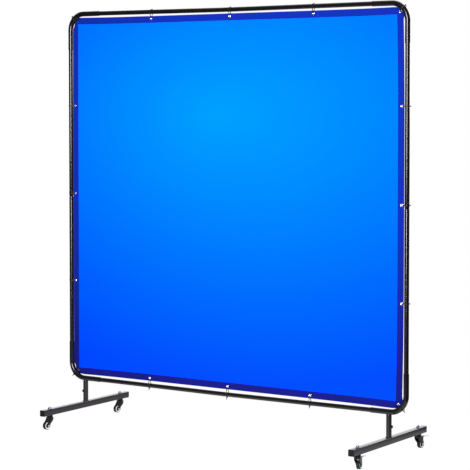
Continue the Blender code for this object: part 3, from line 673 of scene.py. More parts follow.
@dataclass
class TubeFrame:
    """The rounded rectangle of round tube: four bends and eight straight halves."""

    lay: Layout
    sides: int = 40
    bend_steps: int = 20
    bend_wall: float = 0.0013
    lip: float = 0.0005
    swage: float = 0.0092
    swage_length: float = 0.050
    taper: float = 0.006
    plug_length: float = 0.098

    def build(self) -> None:
        """Build every tube of the frame."""
        for side, across in (("left", -1), ("right", 1)):
            self.corner(f"corner_upper_{side}", across, 1)
            self.corner(f"corner_lower_{side}", across, -1)
        self.level_pair("top", self.lay.top)
        self.level_pair("bottom", self.lay.bottom)
        for side, across in (("left", -1), ("right", 1)):
            self.upright_pair(side, across * self.lay.half_width)

    def stations(self, across: int, up: int) -> list[tuple[Vector, Vector]]:
        """Centre line of a bend, from its level mouth to its upright mouth.

        Args:
            across: 1 for the right-hand bends, -1 for the left-hand ones.
            up: 1 for the upper bends, -1 for the lower ones.

        Returns:
            Points, each with the direction that the line runs in.
        """
        lay = self.lay
        corner = Vector((across * lay.half_width, 0, lay.top if up > 0 else lay.bottom))
        run = [(corner + Vector((-across * lay.leg, 0, 0)), Vector((across, 0, 0)))]
        centre = corner - Vector((across * lay.bend, 0, up * lay.bend))
        for step in range(self.bend_steps + 1):
            angle = math.pi / 2 * (1 - step / self.bend_steps)
            out = Vector((across * math.cos(angle), 0, up * math.sin(angle)))
            ahead = Vector((across * math.sin(angle), 0, -up * math.cos(angle)))
            run.append((centre + lay.bend * out, ahead))
        run.append((corner + Vector((0, 0, -up * lay.leg)), Vector((0, 0, -up))))
        return run

    def corner(self, node: str, across: int, up: int) -> None:
        """Build one bend, with rounded lips at its mouths and, below, its plug into the base."""
        lay = self.lay
        mesh = bmesh.new()
        bore = lay.bend_tube - self.bend_wall
        run = self.stations(across, up)
        first, last = run[0], run[-1]
        inset = 3 * self.lip
        level_mouth = (first[0] + first[1] * self.lip, first[1])
        upright_mouth = (last[0] - last[1] * self.lip, last[1])
        outer = [level_mouth, *run[1:-1], upright_mouth]
        rings = [self.ring(mesh, point, ahead, lay.bend_tube) for point, ahead in outer]
        rings.append(self.ring(mesh, *last, lay.bend_tube - self.lip))
        rings.append(self.ring(mesh, *last, bore))
        rings += [self.ring(mesh, point, ahead, bore) for point, ahead in reversed(run[1:-1])]
        rings.append(self.ring(mesh, *first, bore))
        rings.append(self.ring(mesh, *first, lay.bend_tube - self.lip))
        for one, other in zip(rings, rings[1:] + rings[:1]):
            bridge(mesh, one, other)
        if up < 0:
            self.plug(mesh, across * lay.post_x, inset)
        make_piece(f"{node}_bend", mesh, Coat.POWDER, "frame", [node])

    def plug(self, mesh: bmesh.types.BMesh, x: float, inset: float) -> None:
        """Add the welded plug under a lower bend, and the weld bead round its root.

        Args:
            mesh: the bend's mesh.
            x: where the plug is.
            inset: how far the bead stands off the plug.
        """
        lay = self.lay
        low = lay.bottom - self.plug_length
        root = lay.bottom - lay.bend_tube + 0.0004
        body = [
            (lay.tube - lay.wall, low), (lay.tube - self.lip, low), (lay.tube, low + self.lip),
            (lay.tube, root - inset), (lay.tube + inset * 0.7, root - inset * 0.35),
            (lay.tube + inset * 0.4, root + 0.0022), (lay.tube - lay.wall, root + 0.0022)]
        turn(mesh, body, self.sides, Matrix.Translation((x, 0, 0)))

    def ring(self, mesh: bmesh.types.BMesh, point: Vector, ahead: Vector, radius: float) -> Ring:
        """Add a ring of vertices square to a direction in the frame's plane.

        Args:
            mesh: the mesh that gets it.
            point: its centre.
            ahead: the direction it faces.
            radius: its radius.

        Returns:
            Its vertices.
        """
        out = Vector((0, 1, 0))
        side = ahead.cross(out)
        verts = []
        for step in range(self.sides):
            angle = 2 * math.pi * step / self.sides
            verts.append(mesh.verts.new(point + radius * (math.cos(angle) * out + math.sin(angle) * side)))
        return verts

    def half_tube(self, node: str, start: Vector, end: Vector, swaged: bool) -> None:
        """Build one straight half, from inside its socket to the joint of its pair.

        Args:
            node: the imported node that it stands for.
            start: its end inside the corner's socket.
            end: the joint.
            swaged: whether it has the reduced end that enters the other half.
        """
        lay = self.lay
        run = end - start
        length = run.length - (self.taper + 0.0005 if swaged else 0.0)
        lip = self.lip
        bore = lay.tube - lay.wall
        profile = [(lay.tube - lip, 0.0), (lay.tube, lip)]
        if swaged:
            tip = length + self.taper + self.swage_length
            profile += [(lay.tube, length - 0.002), (lay.tube - 0.0003, length)]
            profile += [(self.swage + 0.0003, length + self.taper - 0.001), (self.swage, length + self.taper)]
            profile += [(self.swage, tip - lip), (self.swage - lip, tip), (self.swage - lay.wall, tip)]
            profile += [(self.swage - lay.wall, length + self.taper), (bore, length)]
        else:
            profile += [(lay.tube, length - lip), (lay.tube - lip, length), (bore, length)]
        profile.append((bore, 0.0))
        mesh = bmesh.new()
        place = Matrix.Translation(start) @ run.to_track_quat("Z", "Y").to_matrix().to_4x4()
        turn(mesh, profile, self.sides, place)
        make_piece(f"{node}_run", mesh, Coat.POWDER, "frame", [node])

    def level_pair(self, row: str, height: float) -> None:
        """Build the two halves of a level tube."""
        inner = self.lay.half_width - self.lay.leg + self.lay.socket
        joint = self.lay.level(height, self.lay.joint_x)
        self.half_tube(f"tube_{row}_left", self.lay.level(height, -inner), joint, False)
        self.half_tube(f"tube_{row}_right", self.lay.level(height, inner), joint, True)

    def upright_pair(self, side: str, x: float) -> None:
        """Build the two halves of an upright."""
        lay = self.lay
        joint = Vector((x, 0, lay.middle))
        low = Vector((x, 0, lay.bottom + lay.leg - lay.socket))
        high = Vector((x, 0, lay.top - lay.leg + lay.socket))
        self.half_tube(f"upright_{side}_lower", low, joint, False)
        self.half_tube(f"upright_{side}_upper", high, joint, True)


# ---------------------------------------------------------------- base bars

@dataclass
class BaseBars:
    """Square bars with a welded post socket, a lock bolt and two end caps each."""

    lay: Layout
    wall: float = 0.0015
    edge: float = 0.0025
    half_length: float = 0.340
    post: float = 0.0127
    bore: float = 0.0114
    bead: float = 0.0026
    bead_count: int = 26
    bolt_height: float = 0.148

    def build(self) -> None:
        """Build both bases."""
        beads = Repeat("weld_ripples", PAINTS.get(Coat.BAR_POWDER))
        for side, across in (("left", -1), ("right", 1)):
            x = across * self.lay.post_x
            self.bar(side, x)
            self.weld(side, x, beads)
            self.lock_bolt(side, x, across)
            for end, along in (("front", -1), ("rear", 1)):
                self.cap(f"end_cap_{end}_{side}", x, along)

    def bar(self, side: str, x: float) -> None:
        """Build the square bar and the post socket on it.

        Args:
            side: left or right.
            x: the bar's centre.
        """
        lay = self.lay
        mesh = bmesh.new()
        centre = lay.bar_low + lay.bar / 2
        loops = []
        for size, radius in ((lay.bar, self.edge), (lay.bar - 2 * self.wall, self.edge - self.wall + 0.0002)):
            outline = rounded(size, size, radius)
            for y in (-self.half_length, self.half_length):
                loops.append([mesh.verts.new((x + a, y, centre + b)) for a, b in outline])
        outer_front, outer_rear, inner_front, inner_rear = loops
        bridge(mesh, outer_front, outer_rear)
        bridge(mesh, outer_rear, inner_rear)
        bridge(mesh, inner_rear, inner_front)
        bridge(mesh, inner_front, outer_front)
        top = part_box(f"base_{side}")[1][2]
        low = lay.bar_low + lay.bar
        lip = 0.0005
        post = [
            (self.bore, low - 0.0005), (self.post, low - 0.0005), (self.post, top - lip),
            (self.post - lip, top), (self.bore, top)]
        turn(mesh, post, 40, Matrix.Translation((x, 0, 0)))
        make_piece(f"base_{side}_bar", mesh, Coat.BAR_POWDER, "frame", [f"base_{side}"])

    def weld(self, side: str, x: float, beads: Repeat) -> None:
        """Lay the fillet weld round the post's foot, as overlapping ripples.

        Args:
            side: left or right.
            x: the post's centre.
            beads: the tree that repeats a ripple.
        """
        ripple = bmesh.new()
        bmesh.ops.create_uvsphere(ripple, u_segments=10, v_segments=6, radius=self.bead)
        bmesh.ops.scale(ripple, verts=ripple.verts[:], vec=(0.85, 1.0, 0.8))
        places = []
        for step in range(self.bead_count):
            angle = 2 * math.pi * step / self.bead_count
            out = Vector((math.cos(angle), math.sin(angle), 0))
            spot = Vector((x, 0, self.lay.bar_low + self.lay.bar + 0.0004)) + (self.post + 0.0004) * out
            places.append((spot, (out + Vector((0, 0, 1))).normalized(), Vector((-out.y, out.x, 0))))
        piece = beads.make(f"weld_bead_{side}", ripple, places)
        dress(piece, Coat.BAR_POWDER, "frame", crease=80.0)

    def cap(self, node: str, x: float, along: int) -> None:
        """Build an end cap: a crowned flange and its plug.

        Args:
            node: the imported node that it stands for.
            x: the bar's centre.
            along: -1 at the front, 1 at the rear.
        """
        lay = self.lay
        centre = Vector((x, along * self.half_length, lay.bar_low + lay.bar / 2))
        mesh = bmesh.new()
        rings = []
        # Depth beyond the bar's end, growth past the bar's side, and corner radius.
        steps = (
            (0.0003, 0.0, 0.0025), (0.0018, 0.0, 0.0025), (0.0026, -0.0007, 0.0024),
            (0.0030, -0.0024, 0.0020), (0.0027, -0.0060, 0.0015))
        for depth, inset, radius in steps:
            size = lay.bar + 2 * inset
            outline = rounded(size, size, radius)
            rings.append([mesh.verts.new(centre + Vector((a, along * depth, b))) for a, b in outline])
        for one, other in zip(rings, rings[1:]):
            bridge(mesh, one, other)
        mesh.faces.new(rings[0])
        mesh.faces.new(rings[-1])
        plug = lay.bar - 2 * self.wall - 0.0008
        root = [mesh.verts.new(centre + Vector((a, along * 0.001, b))) for a, b in rounded(plug, plug, 0.001)]
        tip = [mesh.verts.new(centre + Vector((a, -along * 0.012, b))) for a, b in rounded(plug, plug, 0.001)]
        bridge(mesh, root, tip)
        mesh.faces.new(root)
        mesh.faces.new(tip)
        make_piece(f"{node}_moulding", mesh, Coat.PLUG, "frame", [node])

    def lock_bolt(self, side: str, x: float, across: int) -> None:
        """Build the flanged hex bolt that locks the plug in the post.

        Args:
            side: left or right.
            x: the post's centre.
            across: the way that the bolt's head faces.
        """
        mesh = bmesh.new()
        place = Matrix.Translation((x + across * (self.post + self.lay.fit), 0, self.bolt_height))
        place @= Matrix.Rotation(across * math.pi / 2, 4, "Y")
        turn(mesh, [
            (0.0, -0.020), (0.0030, -0.020), (0.0038, -0.0188), (0.0038, 0.0), (0.0076, 0.0),
            (0.0077, 0.0006), (0.0070, 0.0013), (0.0, 0.0013)], 28, place)
        turn(mesh, [
            (0.0, 0.001), (0.0073, 0.001), (0.0074, 0.0016), (0.0074, 0.0050), (0.0064, 0.0056),
            (0.0, 0.0056)], 6, place)
        make_piece(
            f"lock_bolt_{side}_hex", mesh, Coat.POWDER, "frame", [f"lock_bolt_{side}"], Edge(0.0003))


# ---------------------------------------------------------------- curtain

@dataclass
class Curtain:
    """Tinted PVC sheet with a sealed and sewn hem, whose corners lap behind the bends."""

    lay: Layout
    half_width: float = 0.9445
    half_height: float = 0.8975
    pull_left: float = 0.0008
    pull_right: float = 0.008
    rise: float = 0.0045
    corner: float = 0.008
    hem: float = 0.033
    film: float = 0.0004
    hem_film: float = 0.0007
    lap_depth: float = 0.0144
    lap_start: float = 0.052
    lap_end: float = 0.0768
    lap_spread: float = 0.6
    row_z: float = 0.884
    row_x: float = 0.9235
    row_skew: float = 0.007
    corner_eyelet: float = 0.041
    side_x: float = 0.9325
    eyelets: int = 5
    side_lift: float = 0.017
    hole: float = 0.0039
    stitch_pitch: float = 0.005
    fine_reach: float = 0.066
    fine_count: int = 20
    billow: float = 0.0022

    def build(self) -> None:
        """Build the sheet, its hem, its stitches and its eyelets."""
        sheet = self.sheet()
        hem = self.hem_band()
        stitches = self.stitching()
        rings = self.eyelet_rings()

    def eyelet_places(self) -> list[tuple[str, float, float]]:
        """Name every eyelet and give its place.

        Returns:
            Name, x and height above the frame's middle, row by row.
        """
        last = self.eyelets - 1
        places = []
        from_bend = self.corner_eyelet - self.lay.bend
        for number in range(self.eyelets):
            share = 2 * number / last - 1
            for row, sign in (("top", 1), ("bottom", -1)):
                x = share * self.row_x + sign * self.row_skew
                z = sign * self.row_z
                if number in (0, last):
                    x = share * (self.lay.half_width + from_bend)
                    z = sign * (self.lay.half_height + from_bend)
                places.append((f"{row}_{number + 1}", x, z))
        for number in range(1, last):
            z = self.row_z * (1 - 2 * number / last) + self.side_lift
            places.append((f"left_{number}", -self.side_x, z))
            places.append((f"right_{number}", self.side_x, z))
        return places

    def bowed(self, x: float, z: float) -> Place:
        """Shape a place within the sheet's plane: the pull of the ties bows its edges."""
        u = x / self.half_width
        v = z / self.half_height
        pull = self.pull_right if x > 0 else self.pull_left
        return (
            x * (1 - pull / self.half_width * v ** 4),
            z + math.copysign(self.rise, v) * u ** 6 * v * v,
        )

    def lap(self, x: float, z: float) -> float:
        """How far the sheet stands behind the frame's plane, at the bends."""
        over_x = max(abs(x) - self.lay.half_width + self.lay.bend, 0.0)
        over_z = max(abs(z) - self.lay.half_height + self.lay.bend, 0.0)
        if over_x == 0.0 or over_z == 0.0:
            return 0.0
        reach = math.hypot(over_x, over_z)
        climb = smooth((reach - self.lap_start) / (self.lap_end - self.lap_start))
        return self.lap_depth * climb * smooth(2 * over_x * over_z / reach ** 2 / self.lap_spread)

    def ripple(self, x: float, z: float) -> float:
        """Slack of the stretched film: broad billows, and creases that fan out of the corners."""
        u = min(abs(x) / self.half_width, 1.0)
        v = min(abs(z) / self.half_height, 1.0)
        calm = smooth((1 - u) * 7) * smooth((1 - v) * 7)
        broad = math.sin(2.1 * x + 0.6) * math.cos(1.7 * z - 0.4)
        fine = 0.35 * math.sin(6.3 * x + 3.1 * z) + 0.25 * math.sin(4.4 * z - 7.9 * x + 1.0)
        corner_x = (1 - u) * self.half_width + 0.04
        corner_z = (1 - v) * self.half_height + 0.04
        fan = math.sin(11 * math.atan2(corner_z, corner_x))
        fade = math.exp(-math.hypot(corner_x, corner_z) / 0.16)
        return self.billow * (calm * (broad + fine) + 0.5 * fan * fade * calm)

    def drop(self, x: float, z: float, lift: float = 0.0) -> Vector:
        """Put a place on the sheet into the room.

        Args:
            x: across the frame.
            z: above the frame's middle.
            lift: distance behind the sheet's middle layer.

        Returns:
            The point.
        """
        return Vector((x, lift + self.lap(x, z) + self.ripple(x, z), z + self.lay.middle))

    def lines(self, half: float, bend: float) -> list[float]:
        """Grid lines across half of the sheet and its mirror image, close together at the edge.

        Args:
            half: half of the sheet's size.
            bend: where the corner's lap begins.

        Returns:
            The lines in order.
        """
        broad = [bend * step / 28 for step in range(28)]
        close = [bend + (half - bend) * step / 16 for step in range(17)]
        side = [line + 0.00037 for line in broad + close[:-1]] + [half]
        return [-line for line in reversed(side)] + side

    def punched(self, name: str, mesh: bmesh.types.BMesh) -> bmesh.types.BMesh:
        """Punch the eyelet holes through a flat layer.

        Args:
            name: the layer's name.
            mesh: the flat layer about the frame's middle; it is freed here.

        Returns:
            The punched layer.
        """
        data = bpy.data.meshes.new(name)
        bmesh.ops.recalc_face_normals(mesh, faces=mesh.faces[:])
        mesh.to_mesh(data)
        mesh.free()
        layer = bpy.data.objects.new(name, data)
        bpy.context.scene.collection.objects.link(layer)
        punch_mesh = bmesh.new()
        quarter = Matrix.Rotation(math.pi / 2, 4, "X")
        for _, x, z in self.eyelet_places():
            place = Matrix.Translation((x, 0, z)) @ quarter
            turn(punch_mesh, [(0.0, -0.01), (self.hole, -0.01), (self.hole, 0.01), (0.0, 0.01)], 24, place)
        bmesh.ops.recalc_face_normals(punch_mesh, faces=punch_mesh.faces[:])
        punch_data = bpy.data.meshes.new("punch")
        punch_mesh.to_mesh(punch_data)
        punch_mesh.free()
        punch = bpy.data.objects.new("punch", punch_data)
        bpy.context.scene.collection.objects.link(punch)
        cut = layer.modifiers.new("punch", "BOOLEAN")
        cut.operation = "DIFFERENCE"
        cut.solver = "EXACT"
        cut.object = punch
        baked(layer)
        result = bmesh.new()
        result.from_mesh(layer.data)
        for helper in (layer, punch):
            bpy.data.objects.remove(helper)
        return result

    def sheet(self) -> bpy.types.Object:
        """Build the film itself.

        Returns:
            The sheet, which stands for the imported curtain.
        """
        mesh = bmesh.new()
        columns = self.lines(self.half_width - 0.001, self.lay.half_width - self.lay.bend)
        rows = self.lines(self.half_height - 0.001, self.lay.half_height - self.lay.bend)
        grid = [[mesh.verts.new((x, -self.film / 2, z)) for x in columns] for z in rows]
        for lower, upper in zip(grid, grid[1:]):
            for left in range(len(columns) - 1):
                mesh.faces.new((lower[left], lower[left + 1], upper[left + 1], upper[left]))
        tips = [grid[0][0], grid[0][-1], grid[-1][0], grid[-1][-1]]
        bmesh.ops.bevel(mesh, geom=tips, offset=0.004, segments=2, profile=0.5, affect="VERTICES")
        for vert in mesh.verts:
            vert.co.x, vert.co.z = self.bowed(vert.co.x, vert.co.z)
        extruded = bmesh.ops.extrude_face_region(mesh, geom=mesh.faces[:], use_keep_orig=True)
        back = [item for item in extruded["geom"] if isinstance(item, bmesh.types.BMVert)]
        bmesh.ops.translate(mesh, verts=back, vec=(0, self.film, 0))
        mesh = self.punched("film_layer", mesh)
        bmesh.ops.triangulate(mesh, faces=mesh.faces[:])
        for vert in mesh.verts:
            vert.co = self.drop(vert.co.x, vert.co.z, vert.co.y)
        return make_piece("curtain_film", mesh, Coat.FILM, "frame", ["curtain"])

    def edge_line(self, inset: float, spacing: float, fine_ends: bool = False) -> list[Place]:
        """Walk round the sheet at a distance inside its edge.

        Args:
            inset: the distance, in metres.
            spacing: how far apart the points are.
            fine_ends: whether they are closer together near the corners.

        Returns:
            Points round the sheet, before its edges bow.
        """
        radius = max(self.corner - inset, 0.0)
        wide = self.half_width - inset
        tall = self.half_height - inset
        points: list[Place] = []
        corners = (((1, 1), 0.0), ((-1, 1), 90.0), ((-1, -1), 180.0), ((1, -1), 270.0))
        for index, ((across, up), start) in enumerate(corners):
            centre = (across * (wide - radius), up * (tall - radius))
            bend = arc(centre, radius, start, start + 90, 6) if radius else [centre]
            points += bend
            (far_across, far_up), far_start = corners[(index + 1) % 4]
            far = (far_across * (wide - radius), far_up * (tall - radius))
            angle = math.radians(far_start)
            goal = (far[0] + radius * math.cos(angle), far[1] + radius * math.sin(angle))
            here = points[-1]
            run = math.dist(here, goal)
            stops = self.stops(run, spacing) if fine_ends else self.even_stops(run, spacing)
            for share in stops:
                points.append((here[0] + (goal[0] - here[0]) * share, here[1] + (goal[1] - here[1]) * share))
        return points

    def even_stops(self, run: float, spacing: float) -> list[float]:
        """Shares along a run, evenly apart."""
        count = max(int(run / spacing), 1)
        return [step / count for step in range(1, count)]

    def stops(self, run: float, spacing: float) -> list[float]:
        """Shares along a run, closer together over the corners' laps."""
        near = [self.fine_reach * step / self.fine_count for step in range(1, self.fine_count + 1)]
        middle = self.even_stops(run - 2 * self.fine_reach, spacing)
        far = [self.fine_reach + share * (run - 2 * self.fine_reach) for share in middle]
        return [place / run for place in near + far + [run - place for place in reversed(near)]]

    def hem_band(self) -> bpy.types.Object:
        """Build the folded hem as one closed band round the edge, in front of and behind the film.

        Returns:
            The hem.
        """
        mesh = bmesh.new()
        deep = self.film / 2 + self.hem_film
        shallow = self.film / 2 + 0.00005
        outer = self.edge_line(0.0, 0.016, fine_ends=True)
        across = [0.0008] + [self.hem * step / 9 for step in range(1, 9)] + [self.hem - 0.0004]
        section = [(self.hem, -shallow)] + [(inset, -deep) for inset in reversed(across)]
        section += [(0.0, 0.0)] + [(inset, deep) for inset in across] + [(self.hem, shallow)]
        loops = []
        for inset, lift in section:
            loop = []
            for x, z in outer:
                wide = self.half_width - inset
                tall = self.half_height - inset
                loop.append(mesh.verts.new((min(max(x, -wide), wide), lift, min(max(z, -tall), tall))))
            loops.append(loop)
        for one, other in zip(loops, loops[1:] + loops[:1]):
            bridge(mesh, one, other)
        bmesh.ops.remove_doubles(mesh, verts=mesh.verts[:], dist=1e-6)
        for vert in mesh.verts:
            vert.co.x, vert.co.z = self.bowed(vert.co.x, vert.co.z)
        mesh = self.punched("hem_layer", mesh)
        bmesh.ops.triangulate(mesh, faces=mesh.faces[:])
        for vert in mesh.verts:
            vert.co = self.drop(vert.co.x, vert.co.z, vert.co.y)
        return make_piece("curtain_hem", mesh, Coat.HEM, "frame")

    def facing(self, x: float, z: float) -> Vector:
        """The way that the sheet's front faces at a place."""
        step = 0.002
        across = self.drop(x + step, z) - self.drop(x - step, z)
        up = self.drop(x, z + step) - self.drop(x, z - step)
        return across.cross(up).normalized()

    def stitching(self) -> bpy.types.Object:
        """Sew the hem's inner edge: one stitch after another, in front and behind.

        Returns:
            The stitches.
        """
        stitch = bmesh.new()
        length = self.stitch_pitch * 0.8
        turn(stitch, [
            (0.0, -length / 2), (0.00022, -length / 2 + 0.0002), (0.00034, -length / 4),
            (0.00034, length / 4), (0.00022, length / 2 - 0.0002), (0.0, length / 2)],
            6, Matrix.Rotation(math.pi / 2, 4, "Y"))
        line = [self.bowed(x, z) for x, z in self.edge_line(self.hem - 0.003, self.stitch_pitch)]
        places = []
        for here, after in zip(line, line[1:] + line[:1]):
            x, z = (here[0] + after[0]) / 2, (here[1] + after[1]) / 2
            out = self.facing(x, z)
            along = self.drop(*after) - self.drop(*here)
            if along.length < 1e-5:
                continue
            rise = self.film / 2 + self.hem_film
            places.append((self.drop(x, z) + rise * out, out, along.normalized()))
            places.append((self.drop(x, z) - rise * out, -out, along.normalized()))
        piece = Repeat("lock_stitch", PAINTS.get(Coat.THREAD)).make("hem_stitching", stitch, places)
        return dress(piece, Coat.THREAD, "frame", crease=80.0)

    def eyelet_rings(self) -> bpy.types.Object:
        """Press an eyelet into every hole: a rolled barrel in front and a flat washer behind.

        Returns:
            All the eyelets.
        """
        ring = bmesh.new()
        low = self.film / 2 + self.hem_film
        profile = [
            (0.0036, -low - 0.0006), (0.0068, -low - 0.0005), (0.0070, -low - 0.0001), (0.0046, -low),
            (0.0039, -0.0002), (0.0039, 0.0002), (0.0048, low), (0.0067, low + 0.0001),
            (0.0071, low + 0.0006), (0.0065, low + 0.0012), (0.0056, low + 0.0015), (0.0044, low + 0.0013),
            (0.0037, low + 0.0008), (0.0035, low + 0.0002)]
        turn(ring, profile, 36)
        places = []
        for _, x, z in self.eyelet_places():
            places.append((self.drop(x, z), self.facing(x, z), Vector((1, 0, 0))))
        piece = Repeat("pressed_eyelets", PAINTS.get(Coat.EYELET)).make("eyelets", ring, places)
        return dress(piece, Coat.EYELET, "frame", crease=50.0)


# ---------------------------------------------------------------- cable ties

@dataclass
class CableTies:
    """A ratchet tie through every eyelet: grooved strap, locking head and trimmed tail."""

    lay: Layout
    curtain: Curtain
    width: float = 0.0036
    thickness: float = 0.0012
    clearance: float = 0.0007
    tip: float = 0.0036
    corner_shift: float = 0.0017
    corner_slack: float = 0.0033
    corner_tip: float = 0.0025
    eyelet_bore: float = 0.0037
    tail_short: float = 0.0015
    tail_long: float = 0.0075
    swing_corner: float = 10.0
    swing_low: float = 15.0
    swing_top: float = -35.0
    swing_side: float = -50.0

    def build(self) -> None:
        """Build every tie."""
        for name, x, z in self.curtain.eyelet_places():
            self.tie(name, x, z)

    def tie(self, name: str, x: float, z: float) -> None:
        """Build the tie of one eyelet.

        Args:
            name: the eyelet's name.
            x: its place across.
            z: its height above the frame's middle.
        """
        lay = self.lay
        low = name.startswith("bottom")
        tail = self.tail_long if low else self.tail_short
        bend_x = lay.half_width - lay.bend
        bend_z = lay.half_height - lay.bend
        half = self.thickness / 2
        core = (0.0, 0.0, lay.tube + self.clearance + half)
        at_corner = abs(x) > bend_x and abs(z) > bend_z
        if at_corner:
            diagonal = lay.bend / math.sqrt(2)
            centre = Vector((
                math.copysign(bend_x + diagonal, x), 0, math.copysign(bend_z + diagonal, z)))
            spin = math.copysign(math.pi * (0.25 if z > 0 else 0.75), x)
            core = (self.corner_shift, 0.0, lay.bend_tube + self.corner_slack)
            swing = self.swing_corner
        elif abs(z) > bend_z:
            tube = lay.level(lay.bottom if low else lay.top, x)
            centre = Vector((x, 0, tube.z - lay.middle))
            spin = math.pi if low else 0.0
            swing = self.swing_low if low else self.swing_top
        else:
            centre = Vector((math.copysign(lay.half_width, x), 0, z))
            spin = math.copysign(math.pi / 2, x)
            swing = self.swing_side
        reach = math.hypot(x - centre.x, z - centre.z)
        if at_corner:
            tip = (self.curtain.lap(x, z) + 0.001, 0.0012 - reach, self.corner_tip)
        else:
            grip = self.eyelet_bore - 0.0009 - half
            tip = (0.0, grip + self.tip - reach, self.tip)
        place = Matrix.Translation(centre + Vector((0, 0, lay.middle))) @ Matrix.Rotation(spin, 4, "Y")
        mesh = bmesh.new()
        self.strap(mesh, core, tip, place)
        swung = place @ Matrix.Translation((0, core[0], 0)) @ Matrix.Rotation(math.radians(swing), 4, "X")
        self.head(mesh, core[2] + half, tail, swung)
        make_piece(f"tie_{name}", mesh, Coat.NYLON, "frame", [f"cable_tie_{name}"], crease=30.0)

    def strap(
        self,
        mesh: bmesh.types.BMesh,
        core: tuple[float, float, float],
        tip: tuple[float, float, float],
        place: Matrix,
    ) -> None:
        """Add the strap: a belt round two circles, with a groove along its outer face.

        Args:
            mesh: the tie's mesh.
            core: the circle (y, z, radius) round the tube.
            tip: the circle through the eyelet.
            place: where the tie goes.
        """
        run = Vector(tip[:2]) - Vector(core[:2])
        ahead = run.normalized()
        aside = Vector((-ahead.y, ahead.x))
        wrap = math.acos((core[2] - tip[2]) / run.length)
        line: list[tuple[Vector, Vector]] = []
        spans = ((core, wrap, 2 * math.pi - wrap, 40), (tip, -wrap, wrap, 16))
        for circle, start, end, steps in spans:
            for step in range(steps + 1):
                angle = start + (end - start) * step / steps
                spoke = math.cos(angle) * ahead + math.sin(angle) * aside
                line.append((Vector(circle[:2]) + circle[2] * spoke, spoke))
        half = self.thickness / 2
        rib = self.width / 2
        section = (
            (-rib, -half * 0.7), (-rib, half * 0.7), (-rib * 0.8, half), (-rib * 0.45, half),
            (-rib * 0.35, half * 0.7), (rib * 0.35, half * 0.7), (rib * 0.45, half), (rib * 0.8, half),
            (rib, half * 0.7), (rib, -half * 0.7), (rib * 0.8, -half), (-rib * 0.8, -half))
        rings = []
        for point, spoke in line:
            ring = []
            for across, out in section:
                spot = point + out * spoke
                ring.append(mesh.verts.new(place @ Vector((across, spot.x, spot.y))))
            rings.append(ring)
        for one, other in zip(rings, rings[1:] + rings[:1]):
            bridge(mesh, one, other)

    def head(self, mesh: bmesh.types.BMesh, low: float, tail: float, place: Matrix) -> None:
        """Add the locking head, and the tail that is left after trimming.

        Args:
            mesh: the tie's mesh.
            low: how far the head stands from the tube's centre.
            tail: the tail's length beyond the head.
            place: where the head goes.
        """
        levels = (
            (-0.0004, 0.0042, 0.0046), (0.0004, 0.0050, 0.0055), (0.0030, 0.0050, 0.0055),
            (0.0038, 0.0042, 0.0046))
        self.stack(mesh, [(low + up, wide, long) for up, wide, long in levels], 0.0006, place)
        top = low + 0.0038
        self.stack(mesh, [
            (top - 0.001, 0.0032, 0.0012), (top + tail - 0.0006, 0.0032, 0.0012),
            (top + tail, 0.0026, 0.0009)], 0.0003, place)

    def stack(
        self,
        mesh: bmesh.types.BMesh,
        levels: Sequence[tuple[float, float, float]],
        radius: float,
        place: Matrix,
    ) -> None:
        """Add a closed body of rounded rectangles stacked along Z.

        Args:
            mesh: the mesh that gets it.
            levels: height, width across X and length along Y of each rectangle.
            radius: the corners' radius.
            place: where it goes.
        """
        rings = []
        for up, wide, long in levels:
            corner = min(radius, wide / 2.2, long / 2.2)
            ring = [mesh.verts.new(place @ Vector((a, b, up))) for a, b in rounded(wide, long, corner, 3)]
            rings.append(ring)
        for one, other in zip(rings, rings[1:]):
            bridge(mesh, one, other)
        mesh.faces.new(rings[0])
        mesh.faces.new(rings[-1])


# ---------------------------------------------------------------- casters

